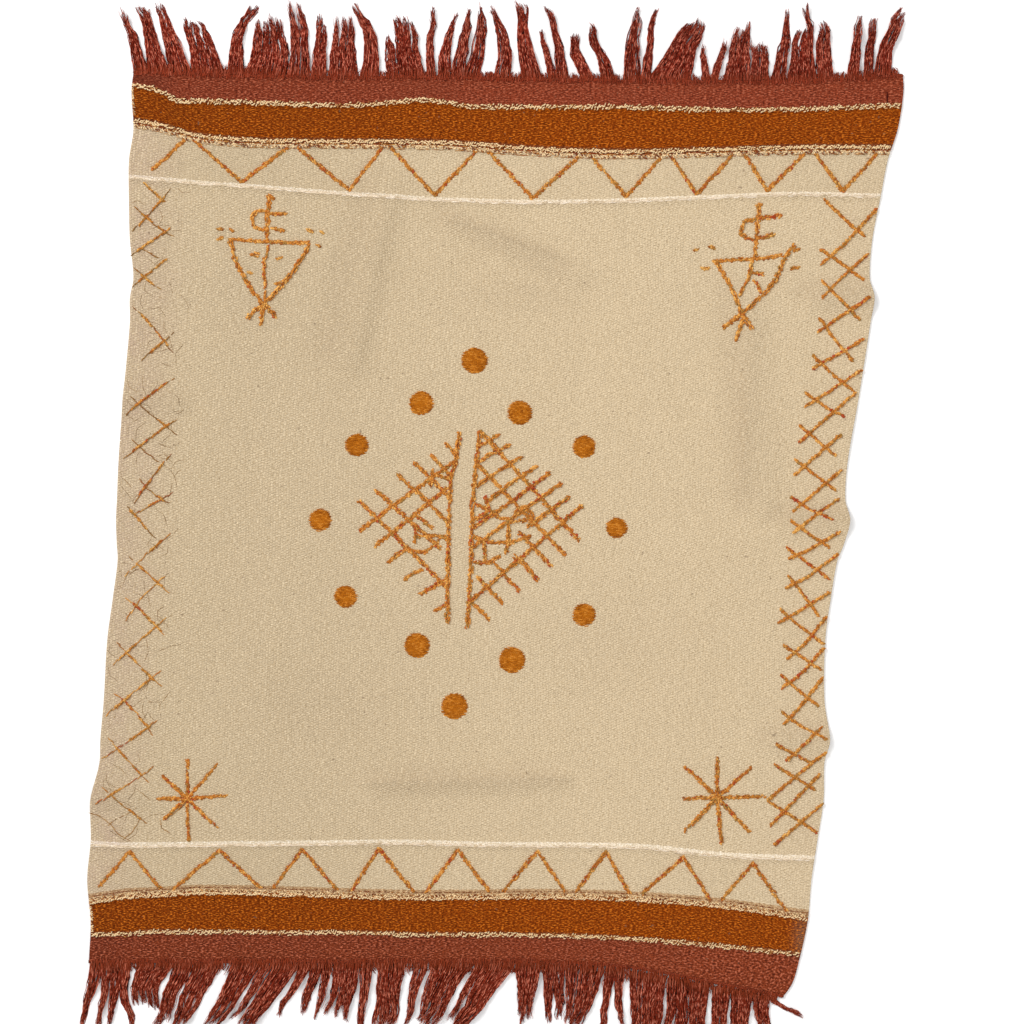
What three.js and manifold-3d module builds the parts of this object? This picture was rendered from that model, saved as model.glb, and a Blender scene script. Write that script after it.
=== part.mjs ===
// A handwoven wool rug with a knotted fringe at both hems, lying flat and face up.
// Millimetres, +X across the rug, +Y towards its top hem, +Z up from the floor.
import * as THREE from 'three';
import { mergeVertices } from 'three/addons/utils/BufferGeometryUtils.js';
import Module from 'manifold-3d';

const wasm = await Module();
wasm.setup();

// Cloth
const clothThickness = 3; // weft-faced wool
const clothColumns = 26; // faces across the rug
const fieldRows = 22; // faces along the plain field, between the two white rows
const bandRows = 2; // faces along each band, between two raised rows

// Raised weft rows: half their width, and how far they stand out of the cloth
const twinedHalfWidth = 3.4;
const twinedRise = 1.5;
const doubleHalfWidth = 5.8; // two twined rows side by side
const doubleValley = 0.45; // how far the cloth still stands out between the two
const whiteHalfWidth = 4;
const whiteRise = 1.2;

// Fringe
const hemStripDepth = 6; // the knotted edge that the locks grow from
const hemStripHeight = 4.2;
const partingGap = 0.3; // between the cloth and a hem strip
const lockSteps = 4;
const lockThickness = 7; // of the fullest lock, at its root
const lockFlatness = 0.75; // a narrower lock's thickness, as a share of its width
const lockFill = 0.84; // the share of its place in the tuft that a lock takes
const lockTaper = 0.6; // the share of its width that a lock loses on the way to its tip
const lockThinning = 0.5; // the share of its thickness that it loses
const shortestLock = 0.86; // the reach of a tuft's shortest lock, as a share of the tuft's
const upperFace = 0.45; // the width of a lock's upper face, as a share of the lower one
const rootDepth = 4; // how far a lock reaches into the hem strip

const cream = 0xd4be9b;
const maroon = 0x7d3223;

const table = (columns, rows) => rows.map(
  (row) => Object.fromEntries(columns.map((name, i) => [name, row[i]])),
);

// The selvedges, from the bottom hem up: how far left and right they lie at each height
const selvedges = table(['y', 'left', 'right'], [
  [-564, -485, 305],
  [-544, -486, 321],
  [-515, -486, 330],
  [-469, -484, 340],
  [-423, -488, 344],
  [-377, -484, 351],
  [-331, -484, 358],
  [-288, -474, 359],
  [-262, -473, 365],
  [-216, -469, 359],
  [-147, -465, 360],
  [-101, -459, 366],
  [-55, -453, 374],
  [-38, -454, 381],
  [-9, -455, 388],
  [14, -454, 383],
  [60, -452, 386],
  [129, -447, 398],
  [218, -439, 412],
  [246, -439, 416],
  [269, -435, 411],
  [313, -439, 414],
  [359, -440, 423],
  [405, -440, 432],
  [439, -435, 443],
  [485, -437, 450],
  [511, -434, 448],
]);

// The hems and the raised weft rows, each by its height at nine even steps from left to right
const bottomHem = [-522, -522, -522, -522, -522, -522, -527, -544, -562];
const topHem = [511, 507, 505, 505, 503, 501, 500, 501, 507];
const raisedRows = [
  { kind: 'twined', heights: [-484, -481, -484, -483, -485, -485, -490, -498, -509] },
  { kind: 'double', heights: [-445, -439, -440, -445, -446, -446, -448, -457, -465] },
  { kind: 'white', heights: [-382, -384, -382, -379, -383, -383, -385, -394, -399] },
  { kind: 'white', heights: [386, 375, 369, 359, 356, 358, 360, 363, 362] },
  { kind: 'double', heights: [440, 431, 427, 429, 420, 416, 419, 422, 420] },
  { kind: 'twined', heights: [492, 471, 467, 471, 465, 463, 462, 465, 471] },
];

// The section of each kind of row, from its lower side to its upper one: the share of its half width
// from its middle, and how far it stands out there
const rowHalfWidths = { twined: twinedHalfWidth, double: doubleHalfWidth, white: whiteHalfWidth };
const rowProfiles = {
  twined: [[-1, 0], [0, twinedRise], [1, 0]],
  double: [[-1, 0], [-0.5, twinedRise], [0, doubleValley], [0.5, twinedRise], [1, 0]],
  white: [[-1, 0], [-0.5, whiteRise], [0.5, whiteRise], [1, 0]],
};

// Folds and ripples, where the cloth lifts off the floor: a line from one point to another,
// half the fold's width and its height
const folds = table(['x1', 'y1', 'x2', 'y2', 'halfWidth', 'height'], [
  [268, 244, 285, 14, 34, 5],
  [-146, 370, -192, 175, 38, 5],
  [-66, 333, 72, 273, 26, 4],
  [-146, -309, 55, -307, 20, 4],
  [430, 246, 352, 244, 24, 6],
  [400, -9, 322, -12, 24, 6],
  [376, -262, 304, -264, 22, 5],
  [-452, 130, -390, 128, 26, 4],
  [-492, -331, -428, -325, 24, 4],
]);

// Tufts of the fringe, from left to right: the middle and the width of a tuft's roots, its locks,
// how far its tips lean to the right, how far they reach from the hem, the share of their spacing
// that they lose at the tips, and how far the tuft bows to the right
const tuftColumns = ['root', 'spread', 'locks', 'lean', 'reach', 'gather', 'bow'];
const topTufts = table(tuftColumns, [
  [-427, 13, 1, -23, 79, 0, 0],
  [-407, 21, 2, -20, 76, 0.5, 0],
  [-382, 25, 2, -25, 79, 0.6, 0],
  [-350, 34, 3, -17, 63, 0.45, 0],
  [-317, 17, 2, 18, 75, 0.6, -6],
  [-283, 46, 4, 2, 62, 0.35, 5],
  [-245, 24, 2, -7, 80, 0.3, 3],
  [-222, 16, 2, 6, 65, 0.3, 0],
  [-195, 31, 3, 1, 72, 0.35, 0],
  [-163, 20, 2, -20, 83, 0.6, 8],
  [-137, 12, 1, -6, 48, 0, 0],
  [-116, 28, 3, -7, 68, 0.2, 0],
  [-93, 10, 1, 5, 84, 0, -4],
  [-77, 13, 1, 17, 78, 0, -6],
  [-62, 14, 1, 18, 85, 0, -2],
  [-46, 15, 1, 10, 82, 0, 5],
  [-12, 16, 1, -16, 78, 0, 10],
  [23, 23, 2, -15, 85, 0.5, -2],
  [45, 8, 1, -12, 52, 0, 0],
  [57, 15, 1, -20, 84, 0, 4],
  [85, 14, 2, -15, 49, 0.3, -3],
  [110, 17, 1, -21, 67, 0, 0],
  [138, 16, 1, 6, 76, 0, -2],
  [153, 8, 1, 13, 79, 0, 0],
  [182, 46, 5, 31, 70, 0.7, 0],
  [223, 9, 1, -5, 40, 0, 0],
  [233, 9, 1, 12, 49, 0, 0],
  [258, 28, 3, 6, 63, 0.4, 0],
  [284, 21, 2, 1, 45, 0.05, 0],
  [306, 13, 1, 14, 81, 0, 0],
  [327, 21, 2, 5, 53, 0.3, 0],
  [344, 10, 1, -6, 83, 0, 0],
  [360, 18, 2, -5, 68, 0.1, 0],
  [391, 14, 1, 12, 73, 0, 0],
  [409, 9, 1, 10, 67, 0, 0],
  [426, 18, 2, 24, 78, 0.4, -4],
]);
const bottomTufts = table(tuftColumns, [
  [-477, 13, 1, -21, 78, 0, 0],
  [-465, 10, 1, -13, 78, 0, 0],
  [-454, 12, 1, -12, 78, 0, 0],
  [-442, 9, 1, 8, 76, 0, -7],
  [-408, 37, 4, -12, 50, 0.2, -6],
  [-377, 20, 2, -32, 74, 0.2, 0],
  [-350, 30, 3, -38, 78, 0.3, 0],
  [-305, 30, 3, -44, 78, 0.3, 0],
  [-281, 12, 1, -38, 62, 0, 0],
  [-259, 28, 3, -50, 78, 0.35, 0],
  [-237, 10, 1, -34, 62, 0, 0],
  [-224, 12, 1, -18, 56, 0, 0],
  [-212, 9, 1, -13, 62, 0, 0],
  [-190, 28, 3, -12, 60, 0, 0],
  [-167, 12, 1, -10, 78, 0, 0],
  [-139, 30, 3, -9, 78, 0.1, 0],
  [-104, 16, 1, -22, 74, 0, 0],
  [-83, 16, 1, -26, 66, 0, 0],
  [-60, 25, 2, -40, 74, 0.3, 0],
  [-36, 9, 1, -42, 70, 0, 0],
  [-14, 35, 4, -52, 78, 0.5, 0],
  [10, 9, 1, -3, 50, 0, 0],
  [24, 16, 2, -10, 66, 0.1, 0],
  [47, 25, 2, 3, 66, 0.1, 0],
  [69, 14, 1, -5, 72, 0, 0],
  [92, 25, 2, -22, 76, 0.4, 0],
  [112, 12, 1, -12, 78, 0, 0],
  [124, 10, 1, 6, 78, 0, -4],
  [143, 13, 1, -2, 80, 0, 0],
  [164, 25, 3, -8, 78, 0.1, 0],
  [191, 23, 2, -8, 78, 0, 0],
  [216, 21, 2, -6, 78, 0, 0],
  [240, 19, 2, -4, 72, 0, 0],
  [264, 21, 2, 0, 62, 0, 0],
  [286, 16, 2, 8, 50, 0, 0],
  [299, 7, 1, 34, 20, 0, 0],
]);

const mix = THREE.MathUtils.lerp;

// A value between the rows of a table, on a smooth line through its points
function smoothly(xs, ys, x) {
  const last = xs.length - 1;
  const at = THREE.MathUtils.clamp(x, xs[0], xs[last]);
  const i = at < xs[last] ? xs.findIndex((value) => value > at) - 1 : last - 1;
  const slope = (j) => {
    const a = Math.max(0, j - 1);
    const b = Math.min(last, j + 1);
    return (ys[b] - ys[a]) / (xs[b] - xs[a]);
  };
  const width = xs[i + 1] - xs[i];
  const t = (at - xs[i]) / width;
  const start = (1 + 2 * t) * (1 - t) ** 2 * ys[i] + t * (1 - t) ** 2 * width * slope(i);
  const end = t * t * (3 - 2 * t) * ys[i + 1] + t * t * (t - 1) * width * slope(i + 1);
  return start + end;
}

const selvedgeHeights = selvedges.map((row) => row.y);
const leftEdges = selvedges.map((row) => row.left);
const rightEdges = selvedges.map((row) => row.right);
const evenSteps = bottomHem.map((_, i) => i / (bottomHem.length - 1));

const rowHeight = (heights, across) => smoothly(evenSteps, heights, across);

// The X of a place on the cloth, from its share of the way across and its height
const acrossX = (across, y) => mix(
  smoothly(selvedgeHeights, leftEdges, y),
  smoothly(selvedgeHeights, rightEdges, y),
  across,
);

// How far the cloth lifts off the floor at a point
function liftAt(x, y) {
  let lift = 0;
  for (const fold of folds) {
    const along = new THREE.Vector2(fold.x2 - fold.x1, fold.y2 - fold.y1);
    const out = new THREE.Vector2(x - fold.x1, y - fold.y1);
    const t = THREE.MathUtils.clamp(out.dot(along) / along.lengthSq(), 0, 1);
    const away = out.addScaledVector(along, -t).length() / fold.halfWidth;
    lift += fold.height * (1 - THREE.MathUtils.smoothstep(away, 0, 1));
  }
  return lift;
}

// Lines across the cloth from bottom to top, each with its heights and how far it stands out
function weftLines() {
  const lines = [{ heights: bottomHem, shift: hemStripDepth + partingGap, rise: 0 }];
  const fill = (from, to, count) => {
    for (let i = 1; i < count; i++) {
      const share = i / count;
      lines.push({
        heights: from.heights.map((height, k) => mix(height + from.shift, to.heights[k] + to.shift, share)),
        shift: 0,
        rise: 0,
      });
    }
  };
  raisedRows.forEach(({ kind, heights }, k) => {
    const half = rowHalfWidths[kind];
    const field = kind === 'white' && raisedRows[k - 1].kind === 'white';
    fill(lines.at(-1), { heights, shift: -half }, field ? fieldRows : bandRows);
    for (const [share, rise] of rowProfiles[kind]) lines.push({ heights, shift: share * half, rise });
  });
  const top = { heights: topHem, shift: -hemStripDepth - partingGap, rise: 0 };
  fill(lines.at(-1), top, bandRows);
  lines.push(top);
  return lines;
}

// Moves each corner of a box of faces by its place in the box, with each of the three from 0 to 1
function shaped(geometry, place) {
  geometry.computeBoundingBox();
  const { min, max } = geometry.boundingBox;
  const corners = geometry.attributes.position;
  for (let i = 0; i < corners.count; i++) {
    const [x, y, z] = place(
      (corners.getX(i) - min.x) / (max.x - min.x),
      (corners.getY(i) - min.y) / (max.y - min.y),
      (corners.getZ(i) - min.z) / (max.z - min.z),
    );
    corners.setXYZ(i, x, y, z);
  }
  geometry.deleteAttribute('normal');
  geometry.deleteAttribute('uv');
  return mergeVertices(geometry);
}

function rugCloth() {
  const lines = weftLines();
  const rows = lines.length - 1;
  return shaped(new THREE.BoxGeometry(1, 1, 1, clothColumns, rows, 1), (across, along, up) => {
    const line = lines[Math.round(along * rows)];
    const y = rowHeight(line.heights, across) + line.shift;
    const x = acrossX(across, y);
    const lift = liftAt(x, y);
    return [x, y, lift + up * (clothThickness + line.rise)];
  });
}

// The narrow knotted strip at a hem; outward is +1 at the top hem and -1 at the bottom one
function hemStrip(hem, outward) {
  const box = new THREE.BoxGeometry(1, 1, 1, clothColumns, 1, 1);
  return shaped(box, (across, along, up) => {
    const inward = (outward > 0 ? 1 - along : along) * hemStripDepth;
    const y = rowHeight(hem, across) - outward * inward;
    return [acrossX(across, y), y, up * hemStripHeight];
  });
}

// A repeatable number from 0 to 1 for a place along a hem
const chanceStep = 12.9898;
const chanceSpread = 43758.5453;
const chance = (place) => {
  const value = Math.sin(place * chanceStep) * chanceSpread;
  return value - Math.floor(value);
};

// One lock of wool, flat on the floor, from inside the hem strip to its tip
function lock(tuft, number, hem, outward) {
  const pitch = tuft.spread / tuft.locks;
  const offset = (number - (tuft.locks - 1) / 2) * pitch;
  const ends = [acrossX(0, hem[0]), acrossX(1, hem.at(-1))];
  const rootX = tuft.root + offset;
  const rootY = rowHeight(hem, (rootX - ends[0]) / (ends[1] - ends[0]));
  const reach = tuft.reach * mix(shortestLock, 1, chance(rootX));
  const rootWidth = pitch * lockFill;
  const thickness = Math.min(lockThickness, rootWidth * lockFlatness);
  const start = -rootDepth / reach;
  const share = reach / tuft.reach;
  return shaped(new THREE.BoxGeometry(1, 1, 1, 1, lockSteps, 1), (side, along, up) => {
    const way = outward > 0 ? along : 1 - along;
    const s = mix(start, 1, way);
    const out = Math.max(0, s);
    const tuftOut = out * share;
    const width = rootWidth * (1 - tuft.gather * tuftOut) * (1 - lockTaper * out ** 2);
    const middle = tuft.root + offset * (1 - tuft.gather * tuftOut)
      + tuft.lean * tuftOut + 4 * tuft.bow * tuftOut * (1 - tuftOut);
    const half = (width / 2) * mix(1, upperFace, up);
    return [
      middle + (side - 0.5) * 2 * half,
      rootY + outward * reach * s,
      up * thickness * (1 - lockThinning * out),
    ];
  });
}

function solid(geometry) {
  return new wasm.Manifold(new wasm.Mesh({
    numProp: 3,
    vertProperties: new Float32Array(geometry.attributes.position.array),
    triVerts: new Uint32Array(geometry.index.array),
  }));
}

function fringe(tufts, hem, outward) {
  let whole = solid(hemStrip(hem, outward));
  for (const tuft of tufts) {
    for (let number = 0; number < tuft.locks; number++) {
      whole = whole.add(solid(lock(tuft, number, hem, outward)));
    }
  }
  const mesh = whole.getMesh();
  const geometry = new THREE.BufferGeometry();
  geometry.setAttribute('position', new THREE.BufferAttribute(mesh.vertProperties, 3));
  geometry.setIndex(new THREE.BufferAttribute(mesh.triVerts, 1));
  return geometry;
}

function piece(name, geometry, color) {
  geometry.computeVertexNormals();
  const material = new THREE.MeshStandardMaterial({ color, roughness: 0.95, metalness: 0 });
  const mesh = new THREE.Mesh(geometry, material);
  mesh.name = name;
  return mesh;
}

const rug = new THREE.Group();
rug.add(
  piece('rug_cloth', rugCloth(), cream),
  piece('fringe_top', fringe(topTufts, topHem, 1), maroon),
  piece('fringe_bottom', fringe(bottomTufts, bottomHem, -1), maroon),
);

// The origin is on the floor, under the middle of the whole rug
const bounds = new THREE.Box3().setFromObject(rug, true);
const middle = bounds.getCenter(new THREE.Vector3());
rug.position.set(-middle.x, -middle.y, -bounds.min.z);

export default rug;
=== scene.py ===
# A handwoven wool rug with a fringe at both hems, laid flat: its looks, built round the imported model.
import math
import random
import bpy
import numpy as np
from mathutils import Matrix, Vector


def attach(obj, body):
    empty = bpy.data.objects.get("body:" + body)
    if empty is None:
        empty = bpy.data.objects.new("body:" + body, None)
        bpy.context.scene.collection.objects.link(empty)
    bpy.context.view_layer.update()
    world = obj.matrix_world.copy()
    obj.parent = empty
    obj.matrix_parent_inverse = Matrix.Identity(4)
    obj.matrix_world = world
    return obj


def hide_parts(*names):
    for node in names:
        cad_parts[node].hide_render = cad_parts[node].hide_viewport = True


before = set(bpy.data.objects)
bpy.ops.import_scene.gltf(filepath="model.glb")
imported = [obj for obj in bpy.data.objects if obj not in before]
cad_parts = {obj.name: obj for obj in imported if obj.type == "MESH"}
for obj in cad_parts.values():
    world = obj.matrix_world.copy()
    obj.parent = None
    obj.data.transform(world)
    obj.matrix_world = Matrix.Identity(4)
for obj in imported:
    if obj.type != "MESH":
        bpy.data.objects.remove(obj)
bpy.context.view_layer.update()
millimetre = 0.001


# The rug's plan, in millimetres: X across it, Y towards its top hem

def table(columns, rows):
    return [dict(zip(columns, row)) for row in rows]


def column(rows, name):
    return np.array([row[name] for row in rows], float)


cloth = {
    "thickness": 3.0,
    "nominalWidth": 840.0,  # the rug's mean width, for the weave's own measure across
    "columns": 132,
    "lineStep": 4.6,  # between two lines of the mesh along the rug
    "edgeSteps": [0, 0.35, 0.9, 1.6, 3.4],  # extra lines close to every edge, which is round
    "waveHeight": 0.5,  # of the soft unevenness all over
}
rowHalfWidths = {"twined": 3.4, "double": 5.8, "white": 4.0}
rowLineCounts = {"twined": 7, "double": 9, "white": 7}
rowProfiles = {
    "twined": [[-1, 0], [0, 1.5], [1, 0]],
    "double": [[-1, 0], [-0.5, 1.5], [0, 0.45], [0.5, 1.5], [1, 0]],
    "white": [[-1, 0], [-0.5, 1.2], [0.5, 1.2], [1, 0]],
}
hemStripDepth = 6.0
partingGap = 0.3

# The selvedges, from the bottom hem up
selvedges = table(["y", "left", "right"], [
    [-564, -485, 305],
    [-544, -486, 321],
    [-515, -486, 330],
    [-469, -484, 340],
    [-423, -488, 344],
    [-377, -484, 351],
    [-331, -484, 358],
    [-288, -474, 359],
    [-262, -473, 365],
    [-216, -469, 359],
    [-147, -465, 360],
    [-101, -459, 366],
    [-55, -453, 374],
    [-38, -454, 381],
    [-9, -455, 388],
    [14, -454, 383],
    [60, -452, 386],
    [129, -447, 398],
    [218, -439, 412],
    [246, -439, 416],
    [269, -435, 411],
    [313, -439, 414],
    [359, -440, 423],
    [405, -440, 432],
    [439, -435, 443],
    [485, -437, 450],
    [511, -434, 448],
])

# The hems and the raised weft rows, each by its height at set shares of the way from left to right
acrossSteps = [0, 0.04, 0.06, 0.09, 0.16, 0.28, 0.385, 0.44, 0.52, 0.64, 0.76, 0.88, 1]
bottomHem = [-522, -522, -522, -522, -522, -522, -522, -522, -521.9, -522.3, -528, -544.7, -562]
topHem = [511, 509.7, 509, 508, 506.2, 504.9, 504.9, 504.1, 502.7, 500.8, 500, 501.1, 507]
raisedRows = table(["name", "kind", "fieldSide", "heights"], [
    ["lowerTwined", "twined", 0,
     [-485, -485, -484, -482, -482, -483, -483, -485, -485, -486, -490, -498, -508]],
    ["lowerDouble", "double", 1,
     [-446, -441, -439, -438, -435, -437, -440, -441, -441, -440, -443, -451, -465]],
    ["lowerWhite", "white", 0,
     [-382, -384, -384, -384, -383, -382, -381, -381, -383, -384, -386, -396, -399]],
    ["upperWhite", "white", 0,
     [384, 381, 380, 377, 373, 365, 359, 357, 355, 356, 360, 364, 362]],
    ["upperDouble", "double", -1,
     [447, 441, 435, 429, 424, 423, 422, 420, 415, 411, 413, 416, 416]],
    ["upperTwined", "twined", 0,
     [491, 482.5, 472, 472, 470, 467, 473, 466, 465, 465, 462, 463, 467]],
])
rowNamed = {row["name"]: row for row in raisedRows}

# Folds and ripples as the model has them, and below them the finer creases that only the looks have
foldColumns = ["x1", "y1", "x2", "y2", "halfWidth", "height"]
folds = table(foldColumns, [
    [268, 244, 285, 14, 34, 5],
    [-146, 370, -192, 175, 38, 5],
    [-66, 333, 72, 273, 26, 4],
    [-146, -309, 55, -307, 20, 4],
    [430, 246, 352, 244, 24, 6],
    [400, -9, 322, -12, 24, 6],
    [376, -262, 304, -264, 22, 5],
    [-452, 130, -390, 128, 26, 4],
    [-492, -331, -428, -325, 24, 4],
])
creases = table(foldColumns, [
    [-70, 336, 52, 292, 9, 3.0],
    [-40, 312, 40, 280, 8, 1.6],
    [-170, -312, 62, -306, 7, 3.0],
    [-150, -322, 20, -318, 8, 1.2],
    [277, 215, 263, 5, 9, 2.4],
    [-142, 350, -182, 165, 10, 2.8],
    [116, 372, 122, 310, 8, 1.4],
    [66, 240, 54, 110, 22, 1.0],
    [-300, -150, -250, -230, 14, 1.0],
    [180, -280, 250, -300, 12, 1.0],
])

selvedgeHeights = column(selvedges, "y")


def mix(a, b, share):
    return a + (b - a) * share


def smoothly(xs, ys, x):
    # A value between the points of a table, on a smooth line through them
    xs = np.asarray(xs, float)
    ys = np.asarray(ys, float)
    last = len(xs) - 1
    at = np.clip(x, xs[0], xs[last])
    i = np.clip(np.searchsorted(xs, at, side="right") - 1, 0, last - 1)
    before = np.maximum(np.arange(last + 1) - 1, 0)
    after = np.minimum(np.arange(last + 1) + 1, last)
    slope = (ys[after] - ys[before]) / (xs[after] - xs[before])
    width = xs[i + 1] - xs[i]
    t = (at - xs[i]) / width
    start = (1 + 2 * t) * (1 - t) ** 2 * ys[i] + t * (1 - t) ** 2 * width * slope[i]
    end = t * t * (3 - 2 * t) * ys[i + 1] + t * t * (t - 1) * width * slope[i + 1]
    return start + end


def rowHeight(heights, across):
    return smoothly(acrossSteps, heights, across)


def leftEdge(y):
    return smoothly(selvedgeHeights, column(selvedges, "left"), y)


def rightEdge(y):
    return smoothly(selvedgeHeights, column(selvedges, "right"), y)


def acrossX(across, y):
    return mix(leftEdge(y), rightEdge(y), across)


def shareAcross(x, y):
    return (x - leftEdge(y)) / (rightEdge(y) - leftEdge(y))


def softStep(value):
    value = np.clip(value, 0, 1)
    return value * value * (3 - 2 * value)


def ridge(fold, x, y):
    alongX = fold["x2"] - fold["x1"]
    alongY = fold["y2"] - fold["y1"]
    t = ((x - fold["x1"]) * alongX + (y - fold["y1"]) * alongY) / (alongX**2 + alongY**2)
    t = np.clip(t, 0, 1)
    away = np.hypot(x - fold["x1"] - t * alongX, y - fold["y1"] - t * alongY)
    return fold["height"] * (1 - softStep(away / fold["halfWidth"]))


def softWaves(x, y, seed, shortest, longest, count=6):
    # Gentle unevenness between -1 and 1, the same on each run
    dice = random.Random(seed)
    total = np.zeros(np.broadcast(x, y).shape)
    for _ in range(count):
        angle = dice.uniform(0, math.pi)
        wave = 2 * math.pi / dice.uniform(shortest, longest)
        total += np.sin(wave * (x * math.cos(angle) + y * math.sin(angle)) + dice.uniform(0, 6.28))
    return total / count


def lift(x, y):
    # How far the cloth's underside is off the floor
    total = cloth["waveHeight"] * (1 + 2 * softWaves(x, y, 4, 60, 170))
    for fold in folds + creases:
        total = total + ridge(fold, x, y)
    return np.maximum(total, 0)


def rowRise(x, y):
    across = shareAcross(x, y)
    rise = np.zeros(np.broadcast(x, y).shape)
    for row in raisedRows:
        half = rowHalfWidths[row["kind"]]
        share = (y - rowHeight(row["heights"], across)) / half
        profile = np.array(rowProfiles[row["kind"]])
        rise = rise + np.interp(share, profile[:, 0], profile[:, 1])
    return rise


def surface(x, y):
    return lift(x, y) + cloth["thickness"]


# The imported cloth's highest corner is its top left one, which puts the plan in the frame
topCorner = max((v.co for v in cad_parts["rug_cloth"].data.vertices), key=lambda co: co.y)
clothTop = topHem[0] - hemStripDepth - partingGap
planCorner = [float(leftEdge(clothTop)), clothTop]
planToFrame = [topCorner.x - planCorner[0] * millimetre, topCorner.y - planCorner[1] * millimetre]


def inFrame(x, y, z):
    # Plan millimetres to metres in the frame, for one point or for arrays of them
    x, y, z = np.broadcast_arrays(x, y, z)
    return np.stack([x * millimetre + planToFrame[0], y * millimetre + planToFrame[1], z * millimetre], -1)


# Building blocks for node trees

class Graph:
    # Adds nodes to a tree and joins them. An input is a plain value, a socket or a node.
    def __init__(self, tree):
        self.tree = tree

    def add(self, kind, inputs=None, **settings):
        node = self.tree.nodes.new(kind)
        for name, value in settings.items():
            setattr(node, name, value)
        for name, value in (inputs or {}).items():
            if isinstance(value, bpy.types.Node):
                value = value.outputs[0]
            if isinstance(value, bpy.types.NodeSocket):
                self.tree.links.new(value, node.inputs[name])
            else:
                node.inputs[name].default_value = value
        return node

    def calc(self, operation, *values):
        return self.add("ShaderNodeMath", dict(enumerate(values)), operation=operation).outputs[0]

    def plus(self, a, b):
        return self.calc("ADD", a, b)

    def minus(self, a, b):
        return self.calc("SUBTRACT", a, b)

    def times(self, a, b):
        return self.calc("MULTIPLY", a, b)

    def vector(self, operation, *values):
        return self.add("ShaderNodeVectorMath", dict(enumerate(values)), operation=operation).outputs[0]

    def scaled(self, vector, share):
        return self.add("ShaderNodeVectorMath", {0: vector, "Scale": share}, operation="SCALE").outputs[0]

    def blend(self, share, a, b):
        return self.add("ShaderNodeMix", {"Factor": share, 2: a, 3: b}, data_type="FLOAT").outputs[0]

    def noise(self, where, scale, detail=2.0, output="Fac"):
        inputs = {"Vector": where, "Scale": scale, "Detail": detail}
        return self.add("ShaderNodeTexNoise", inputs).outputs[output]

    def centred(self, where, scale, detail=2.0):
        return self.minus(self.noise(where, scale, detail), 0.5)

    def ranged(self, value, low, high, start=0.0, end=1.0):
        # What goes from low to high, as a number that goes from start to end
        inputs = {"Value": value, 1: low, 2: high, 3: start, 4: end}
        return self.add("ShaderNodeMapRange", inputs).outputs[0]

    def fromMesh(self, label):
        return self.add("ShaderNodeAttribute", attribute_name=label).outputs["Fac"]

    def onPiece(self):
        return self.add("ShaderNodeTexCoord").outputs["Object"]

    def combine(self, x, y, z):
        return self.add("ShaderNodeCombineXYZ", {0: x, 1: y, 2: z}).outputs[0]


class GeometryGraph(Graph):
    # A Geometry Nodes tree with named inputs, given as name: (socket type, default)
    def __init__(self, name, inputs):
        super().__init__(bpy.data.node_groups.new(name, "GeometryNodeTree"))
        self.random = 0
        face = self.tree.interface
        face.new_socket("Geometry", in_out="INPUT", socket_type="NodeSocketGeometry")
        for label, (kind, value) in inputs.items():
            socket = face.new_socket(label, in_out="INPUT", socket_type=kind)
            if value is not None:
                socket.default_value = value
        face.new_socket("Geometry", in_out="OUTPUT", socket_type="NodeSocketGeometry")
        self.given = self.add("NodeGroupInput").outputs

    def attribute(self, name):
        return self.add("GeometryNodeInputNamedAttribute", {"Name": name}, data_type="FLOAT").outputs[0]

    def chance(self, low, high, perCurve=False):
        # A repeatable random number for each element, or one for each whole curve
        self.random += 1
        seed = self.plus(self.given["Seed"], self.random * 17.0)
        inputs = {2: low, 3: high, "Seed": seed}
        value = self.add("FunctionNodeRandomValue", inputs, data_type="FLOAT").outputs[1]
        if perCurve:
            whole = self.add("GeometryNodeFieldOnDomain", {0: value}, domain="CURVE", data_type="FLOAT")
            return whole.outputs[0]
        return value

    def store(self, geometry, name, value, domain):
        inputs = {"Geometry": geometry, "Name": name, "Value": value}
        kept = self.add("GeometryNodeStoreNamedAttribute", inputs, data_type="FLOAT", domain=domain)
        return kept.outputs[0]

    def sideways(self, tangent):
        return self.vector("NORMALIZE", self.vector("CROSS_PRODUCT", (0.0, 0.0, 1.0), tangent))

    def tube(self, lines, sides, radius, marked=True):
        # A closed tube along each line. A marked one keeps the share of the way round it.
        inputs = {"Resolution": sides, "Radius": 1.0}
        profile = self.add("GeometryNodeCurvePrimitiveCircle", inputs).outputs[0]
        if marked:
            around = self.add("GeometryNodeSplineParameter").outputs["Factor"]
            profile = self.store(profile, "around", around, "POINT")
        inputs = {0: lines, 1: profile, "Scale": radius, "Fill Caps": True}
        return self.add("GeometryNodeCurveToMesh", inputs).outputs[0]

    def finish(self, geometry):
        whole = self.add("GeometryNodeRealizeInstances", {"Geometry": geometry})
        soft = self.add("GeometryNodeSetShadeSmooth", {"Geometry": whole, "Shade Smooth": True})
        inputs = {"Geometry": soft, "Material": self.given["Material"]}
        dressed = self.add("GeometryNodeSetMaterial", inputs)
        self.add("NodeGroupOutput", {"Geometry": dressed})
        return self.tree


def guideLines(name, lines, values):
    # Open chains of points, in metres, with named numbers at each point, for a tree to follow
    points = np.concatenate(lines)
    mesh = bpy.data.meshes.new(name)
    edges = []
    start = 0
    for line in lines:
        edges += [(start + i, start + i + 1) for i in range(len(line) - 1)]
        start += len(line)
    mesh.from_pydata(points.tolist(), edges, [])
    for label, numbers in values.items():
        stored = mesh.attributes.new(label, "FLOAT", "POINT")
        stored.data.foreach_set("value", np.concatenate(numbers).astype(np.float32))
    guide = bpy.data.objects.new(name, mesh)
    bpy.context.scene.collection.objects.link(guide)
    return guide


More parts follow.
